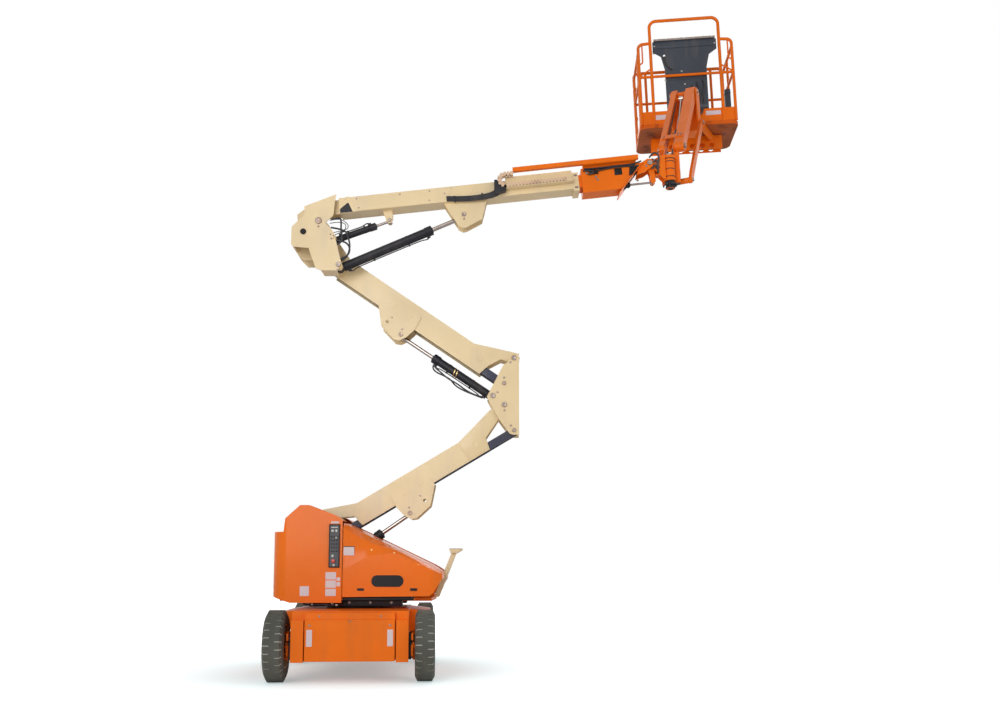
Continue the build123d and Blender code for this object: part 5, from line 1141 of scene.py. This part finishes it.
# %% Jib mount and swing motor
MOTOR = [(-0.179, 0.0), (-0.179, 0.050), (-0.190, 0.050), (-0.192, 0.046), (-0.236, 0.046), (-0.238, 0.049),
         (-0.250, 0.049), (-0.254, 0.044), (-0.256, 0.012), (-0.2565, 0.0)]
LINK_PIN_OUT = 0.195            # near faces of the link's pins, from the middle of the jib
MOUNT_HOSES = [
    [(0.000, -0.060, 0.060), (0.030, -0.075, 0.100), (0.070, -0.080, 0.105), (0.094, -0.075, 0.075),
     (0.096, -0.066, 0.020), (0.086, -0.060, -0.040)],
    [(0.010, -0.060, -0.030), (0.040, -0.075, 0.020), (0.072, -0.078, 0.030), (0.090, -0.068, -0.020),
     (0.082, -0.062, -0.090)],
    [(0.010, 0.060, 0.060), (0.040, 0.074, 0.100), (0.076, 0.078, 0.098), (0.090, 0.066, 0.030)],
    [(0.020, -0.062, -0.060), (0.050, -0.080, -0.020), (0.078, -0.082, -0.040), (0.082, -0.068, -0.110)],
]
hoses("mount_hoses", "jib_mount", 0.009, MOUNT_HOSES, LEVEL)
shape = bmesh.new()
for z in (-0.140, -0.060, 0.020, 0.050):
    lathe(shape, [(0, 0.0555), (0, 0.059), (0.007, 0.059), (0.007, 0.0555)], (SWIVEL_AHEAD, 0, z),
          (0, 0, 1), 32)
block(shape, (0.060, -0.066, -0.060), (0.095, -0.054, -0.020), 0.004)
finished("mount_fittings", shape, "black_paint", "jib_mount", LEVEL)
shape = bmesh.new()
lathe(shape, MOTOR, (0, 0, 0), (0, 0, 1), 28)
for x, y in ((-0.045, -0.030), (-0.050, 0.020), (0.040, -0.042)):
    block(shape, (x - 0.016, y - 0.014, -0.226), (x + 0.016, y + 0.014, -0.196), 0.004)
finished("swing_motor", shape, "black_paint", "jib_swivel", SWIVEL)
print("mount hoses", len(MOUNT_HOSES))

# %% Swivel hoses and pins
SWIVEL_HOSES = [
    [(-0.045, -0.034, -0.212), (-0.020, -0.066, -0.214), (0.040, -0.082, -0.212), (0.088, -0.084, -0.180),
     (0.100, -0.086, -0.090), (0.098, -0.084, 0.010), (0.092, -0.078, 0.100)],
    [(-0.050, 0.024, -0.212), (-0.020, 0.066, -0.214), (0.040, 0.078, -0.212), (0.088, 0.082, -0.170),
     (0.098, 0.084, -0.060), (0.094, 0.080, 0.080)],
    [(0.045, -0.045, -0.210), (0.080, -0.056, -0.200), (0.098, -0.062, -0.140), (0.096, -0.064, -0.040)],
    [(0.000, 0.020, 0.095), (0.030, 0.030, 0.120), (0.060, 0.030, 0.140), (0.072, 0.020, 0.170)],
    [(0.000, -0.020, 0.095), (0.030, -0.030, 0.124), (0.060, -0.034, 0.150), (0.072, -0.030, 0.190)],
]
hoses("swivel_hoses", "jib_swivel", 0.008, SWIVEL_HOSES, SWIVEL)
shape = bmesh.new()
lathe(shape, [(0.088, 0.0), (0.088, 0.030), (0.100, 0.030), (0.102, 0.022), (0.116, 0.022), (0.118, 0)],
      (0, 0, 0), (0, 0, 1), 20)
for out in (NEAR, FAR):
    pin_end(shape, JIB_FOOT + 0.138 * out, out, 0.022)
pin_end(shape, LINK_FOOT + LINK_PIN_OUT * NEAR, NEAR, 0.020)
for z in (-0.130, -0.050, 0.040, 0.130):
    for y in (-0.045, 0.045):
        bolt(shape, (0.084, y, z), (1, 0, 0), 0.007)
finished("swivel_pins", shape, "zinc_bolt", "jib_swivel", SWIVEL)
print("swivel hoses", len(SWIVEL_HOSES))

# %% [markdown]
# ## Jib
# The jib is two long tubes with the hoses between them, and a round cap where it turns on the swivel. Its
# link keeps the platform level. It is a broad pressed channel, drawn from a quarter of its outline that is
# mirrored twice, and it replaces the plain bar of the solid.

# %% Jib hoses and pins
JIB_HOSES = [[(0.240, y, -0.010), (0.400, y, 0.020), (0.650, y, -0.005), (0.900, y, 0.015), (1.100, y, 0.000)]
             for y in (-0.0240, 0.0640)]
hoses("jib_hoses", "jib_frame", 0.0055, JIB_HOSES, JIB)
shape = bmesh.new()
for out in (NEAR, FAR):
    lathe(shape, [(0, 0.036), (0.003, 0.036), (0.004, 0.030), (0.004, 0.0)], 0.130 * out, out, 28)
for x in (0.135, 0.175):
    for y in (-0.095, -0.060, 0.090):
        bolt(shape, (x, y, 0.065), (0, 0, 1), 0.006)
finished("jib_bolts", shape, "zinc_bolt", "jib_frame", JIB)
shape = bmesh.new()
for out in (NEAR, FAR):
    pin_end(shape, JIB_HEAD + 0.150 * out, out, 0.024, (0.044, 0, -0.030))
pin_end(shape, LINK_HEAD + LINK_PIN_OUT * NEAR, NEAR, 0.020)
finished("jib_head_pins", shape, "zinc_bolt", "jib_head", SWIVEL)
print("jib hoses", len(JIB_HOSES))

# %% Broad parallel link of the jib
LINK_NEAR, LINK_FAR = -0.187, -0.157
reach = LINK_HEAD - LINK_FOOT
length = reach.length
lean = math.degrees(math.atan2(reach.z, reach.x))
quarter = [(-0.030, 0.018), (-0.018, 0.030), (0.020, 0.032), (0.120, 0.044)]
top = quarter + [(length - x, z) for x, z in reversed(quarter)]
shape = bmesh.new()
cut_plate(shape, [(x, -z) for x, z in top] + top[::-1], LINK_NEAR, LINK_FAR, 0.003)
for x in (0.0, length):
    lathe(shape, [(0, 0.030), (0.002, 0.030), (0.003, 0.027), (0.003, 0.0)], (x, LINK_NEAR, 0), NEAR, 24)
channel = finished("jib_link_channel", shape, "orange_paint", body_of["jib_link"],
                   SWIVEL @ lifted(LINK_FOOT, lean))
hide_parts("jib_link")
print("link", round(length, 3), "lean", round(lean, 1))

# %% [markdown]
# ## Platform console
# The console is a bent plastic panel with a strip of screws along its top edge, and joystick boots and
# switches on the sloping face. The toe board carries two blank plates. The controls are small, but from the
# platform's side they are what tells a console from a box, so each is turned on the lathe and set square to
# the slope. Heights are from the platform's floor.

# %% Platform plates and console
TOE_FACE = 0.436
shape = bmesh.new()
film(shape, (TOE_FACE - 0.0015, 0.198, 0.059), (TOE_FACE + 0.001, 0.364, 0.118), 0.006, 0)
film(shape, (TOE_FACE - 0.0015, -0.443, 0.080), (TOE_FACE + 0.001, -0.265, 0.133), 0.006, 0)
finished("platform_plates", shape, "label_film", "platform", PLATFORM)

CONSOLE_X = 0.4583              # outer face of the console
CONSOLE_Y = -0.060              # its middle
CONSOLE_SLOPE = 21.6            # of its top face, down towards the operator
shape = bmesh.new()
for y, z in ((-0.010, 0.668), (0.192, 0.565), (-0.039, 0.500), (0.300, 1.005), (-0.420, 1.000)):
    bolt(shape, (CONSOLE_X, y, z), (-1, 0, 0), 0.0075)
for step in range(7):
    bolt(shape, (CONSOLE_X - 0.0195, CONSOLE_Y - 0.330 + 0.110 * step, 1.0765), (-1, 0, 0), 0.006)
finished("console_screws", shape, "gauge_face", "platform", PLATFORM)
shape = bmesh.new()
film(shape, (CONSOLE_X - 0.0185, CONSOLE_Y - 0.372, 1.064), (CONSOLE_X - 0.0135, CONSOLE_Y + 0.372, 1.088),
     0.003, 0)
finished("console_trim", shape, "zinc_bolt", "platform", PLATFORM)
shape = bmesh.new()
block(shape, (CONSOLE_X - 0.006, CONSOLE_Y - 0.360, 0.972),
      (CONSOLE_X + 0.001, CONSOLE_Y + 0.360, 1.052), 0.003)
block(shape, (CONSOLE_X - 0.004, CONSOLE_Y - 0.240, 0.560),
      (CONSOLE_X + 0.001, CONSOLE_Y + 0.240, 0.575), 0.002)
slope = lifted((CONSOLE_X + 0.068, CONSOLE_Y, 1.0525), -CONSOLE_SLOPE)
square = slope.to_3x3()
for y in (-0.250, 0.020):
    lathe(shape, [(0, 0.036), (0.006, 0.036), (0.014, 0.030), (0.018, 0.024), (0.026, 0.022), (0.030, 0.014),
                  (0.070, 0.008), (0.078, 0.015), (0.094, 0.017), (0.104, 0.012), (0.106, 0)],
          slope @ Vector((0, y, 0)), square @ Vector((0, 0, 1)), 20)
for step in range(6):
    lathe(shape, [(0, 0.009), (0.004, 0.009), (0.005, 0.004), (0.018, 0.0035), (0.024, 0.005), (0.026, 0)],
          slope @ Vector((0.030, 0.085 + 0.040 * step, 0)), square @ Vector((0.2, 0, 1)), 12)
finished("console_controls", shape, "dark_plastic", "platform", PLATFORM)
shape = bmesh.new()
lathe(shape, [(0, 0.014), (0.010, 0.014), (0.012, 0.022), (0.018, 0.024), (0.024, 0.018), (0.026, 0)],
      slope @ Vector((0, 0.330, 0)), square @ Vector((0, 0, 1)), 22)
finished("console_stop", shape, "red_knob", "platform", PLATFORM)
print("console slope", CONSOLE_SLOPE)

# %% [markdown]
# ## What hangs in the platform
# Hoses gather at the console's foot and run to the floor. A document box hangs inside the right rail, a
# foot switch stands on the floor, and a thin plate under the floor, dark brown, is painted shade of the
# platform's underside. Boxes with rounded edges do for these, because the real ones are moulded boxes.

# %% Platform hoses, box and foot switch
CONSOLE_HOSES = [
    [(0.452, 0.190, 0.862), (0.440, 0.185, 0.800), (0.446, 0.150, 0.730),
     (0.450, 0.100, 0.690)],
    [(0.452, -0.180, 0.520), (0.430, -0.200, 0.440), (0.446, -0.215, 0.340),
     (0.430, -0.230, 0.240), (0.425, -0.235, 0.150)],
    [(0.452, -0.250, 0.540), (0.430, -0.285, 0.470), (0.444, -0.245, 0.380),
     (0.428, -0.262, 0.280), (0.425, -0.250, 0.180)],
    [(0.452, -0.120, 0.470), (0.436, -0.150, 0.380), (0.440, -0.250, 0.330),
     (0.430, -0.205, 0.230), (0.425, -0.220, 0.160)],
    [(0.425, -0.235, 0.185), (0.415, -0.225, 0.120), (0.395, -0.185, 0.070),
     (0.370, -0.120, 0.045), (0.330, -0.060, 0.050)],
    [(0.425, -0.220, 0.185), (0.410, -0.200, 0.140), (0.390, -0.160, 0.100),
     (0.360, -0.100, 0.080), (0.320, -0.050, 0.080)],
]
hoses("console_hoses", "platform", 0.010, CONSOLE_HOSES, PLATFORM)
shape = bmesh.new()
block(shape, (0.415, -0.300, 0.170), (0.434, -0.175, 0.215), 0.006)
block(shape, (0.560, -0.598, 0.190), (0.700, -0.530, 0.455), 0.008, 3)
block(shape, (0.555, -0.600, 0.400), (0.705, -0.526, 0.412), 0.003)
block(shape, (0.720, -0.240, 0.003), (0.860, -0.100, 0.030), 0.006)
cut_plate(shape, [(0.715, 0.030), (0.865, 0.030), (0.865, 0.085), (0.850, 0.095),
                  (0.735, 0.050)], -0.235, -0.105, 0.003)
finished("document_box_and_switch", shape, "dark_plastic", "platform", PLATFORM)
shape = bmesh.new()
# thin plate under the floor, in painted shade of the platform's underside
film(shape, (0.425, -0.645, -0.0464), (1.175, 0.525, -0.0440), 0.090, 2)
finished("platform_pan", shape, "painted_shade_pan", "platform", PLATFORM)
print("console hoses", len(CONSOLE_HOSES))

# %% [markdown]
# ## Wear pads and caps
# The boom rest has a rubber pad where the riser lies, and each wheel hub a steel cap with a hex nut. The
# four caps differ only in side and axle, so their places are worked out from the wheel's name.

# %% Pad and hub caps
HUB_FACE = 0.684                # outer faces of the hubs, from the middle of the chassis
WHEELS = ("drive_wheel_left", "drive_wheel_right", "steer_wheel_left", "steer_wheel_right")
shape = bmesh.new()
block(shape, (0.826, -0.092, 1.1985), (0.952, 0.092, 1.2025), 0.0015)
finished("rest_pad", shape, "hose_rubber", "turntable", TABLE)
for wheel in WHEELS:
    side = -1 if wheel.endswith("left") else 1
    end = -1 if wheel.startswith("drive") else 1
    hub = (side * HUB_FACE, end * AXLE_AT, WHEEL_RADIUS)
    shape = bmesh.new()
    lathe(shape, [(0, 0.060), (0.004, 0.060), (0.008, 0.056), (0.009, 0.0405)], hub, (side, 0, 0), 32)
    lathe(shape, [(0.008, 0.034), (0.014, 0.034), (0.017, 0.029), (0.0175, 0)], hub, (side, 0, 0), 6)
    finished(wheel + "_cap", shape, "zinc_bolt", wheel, CHASSIS)
print("hub caps", len(WHEELS))

# %% [markdown]
# ## The end

# %% The end
print("machine dressed")
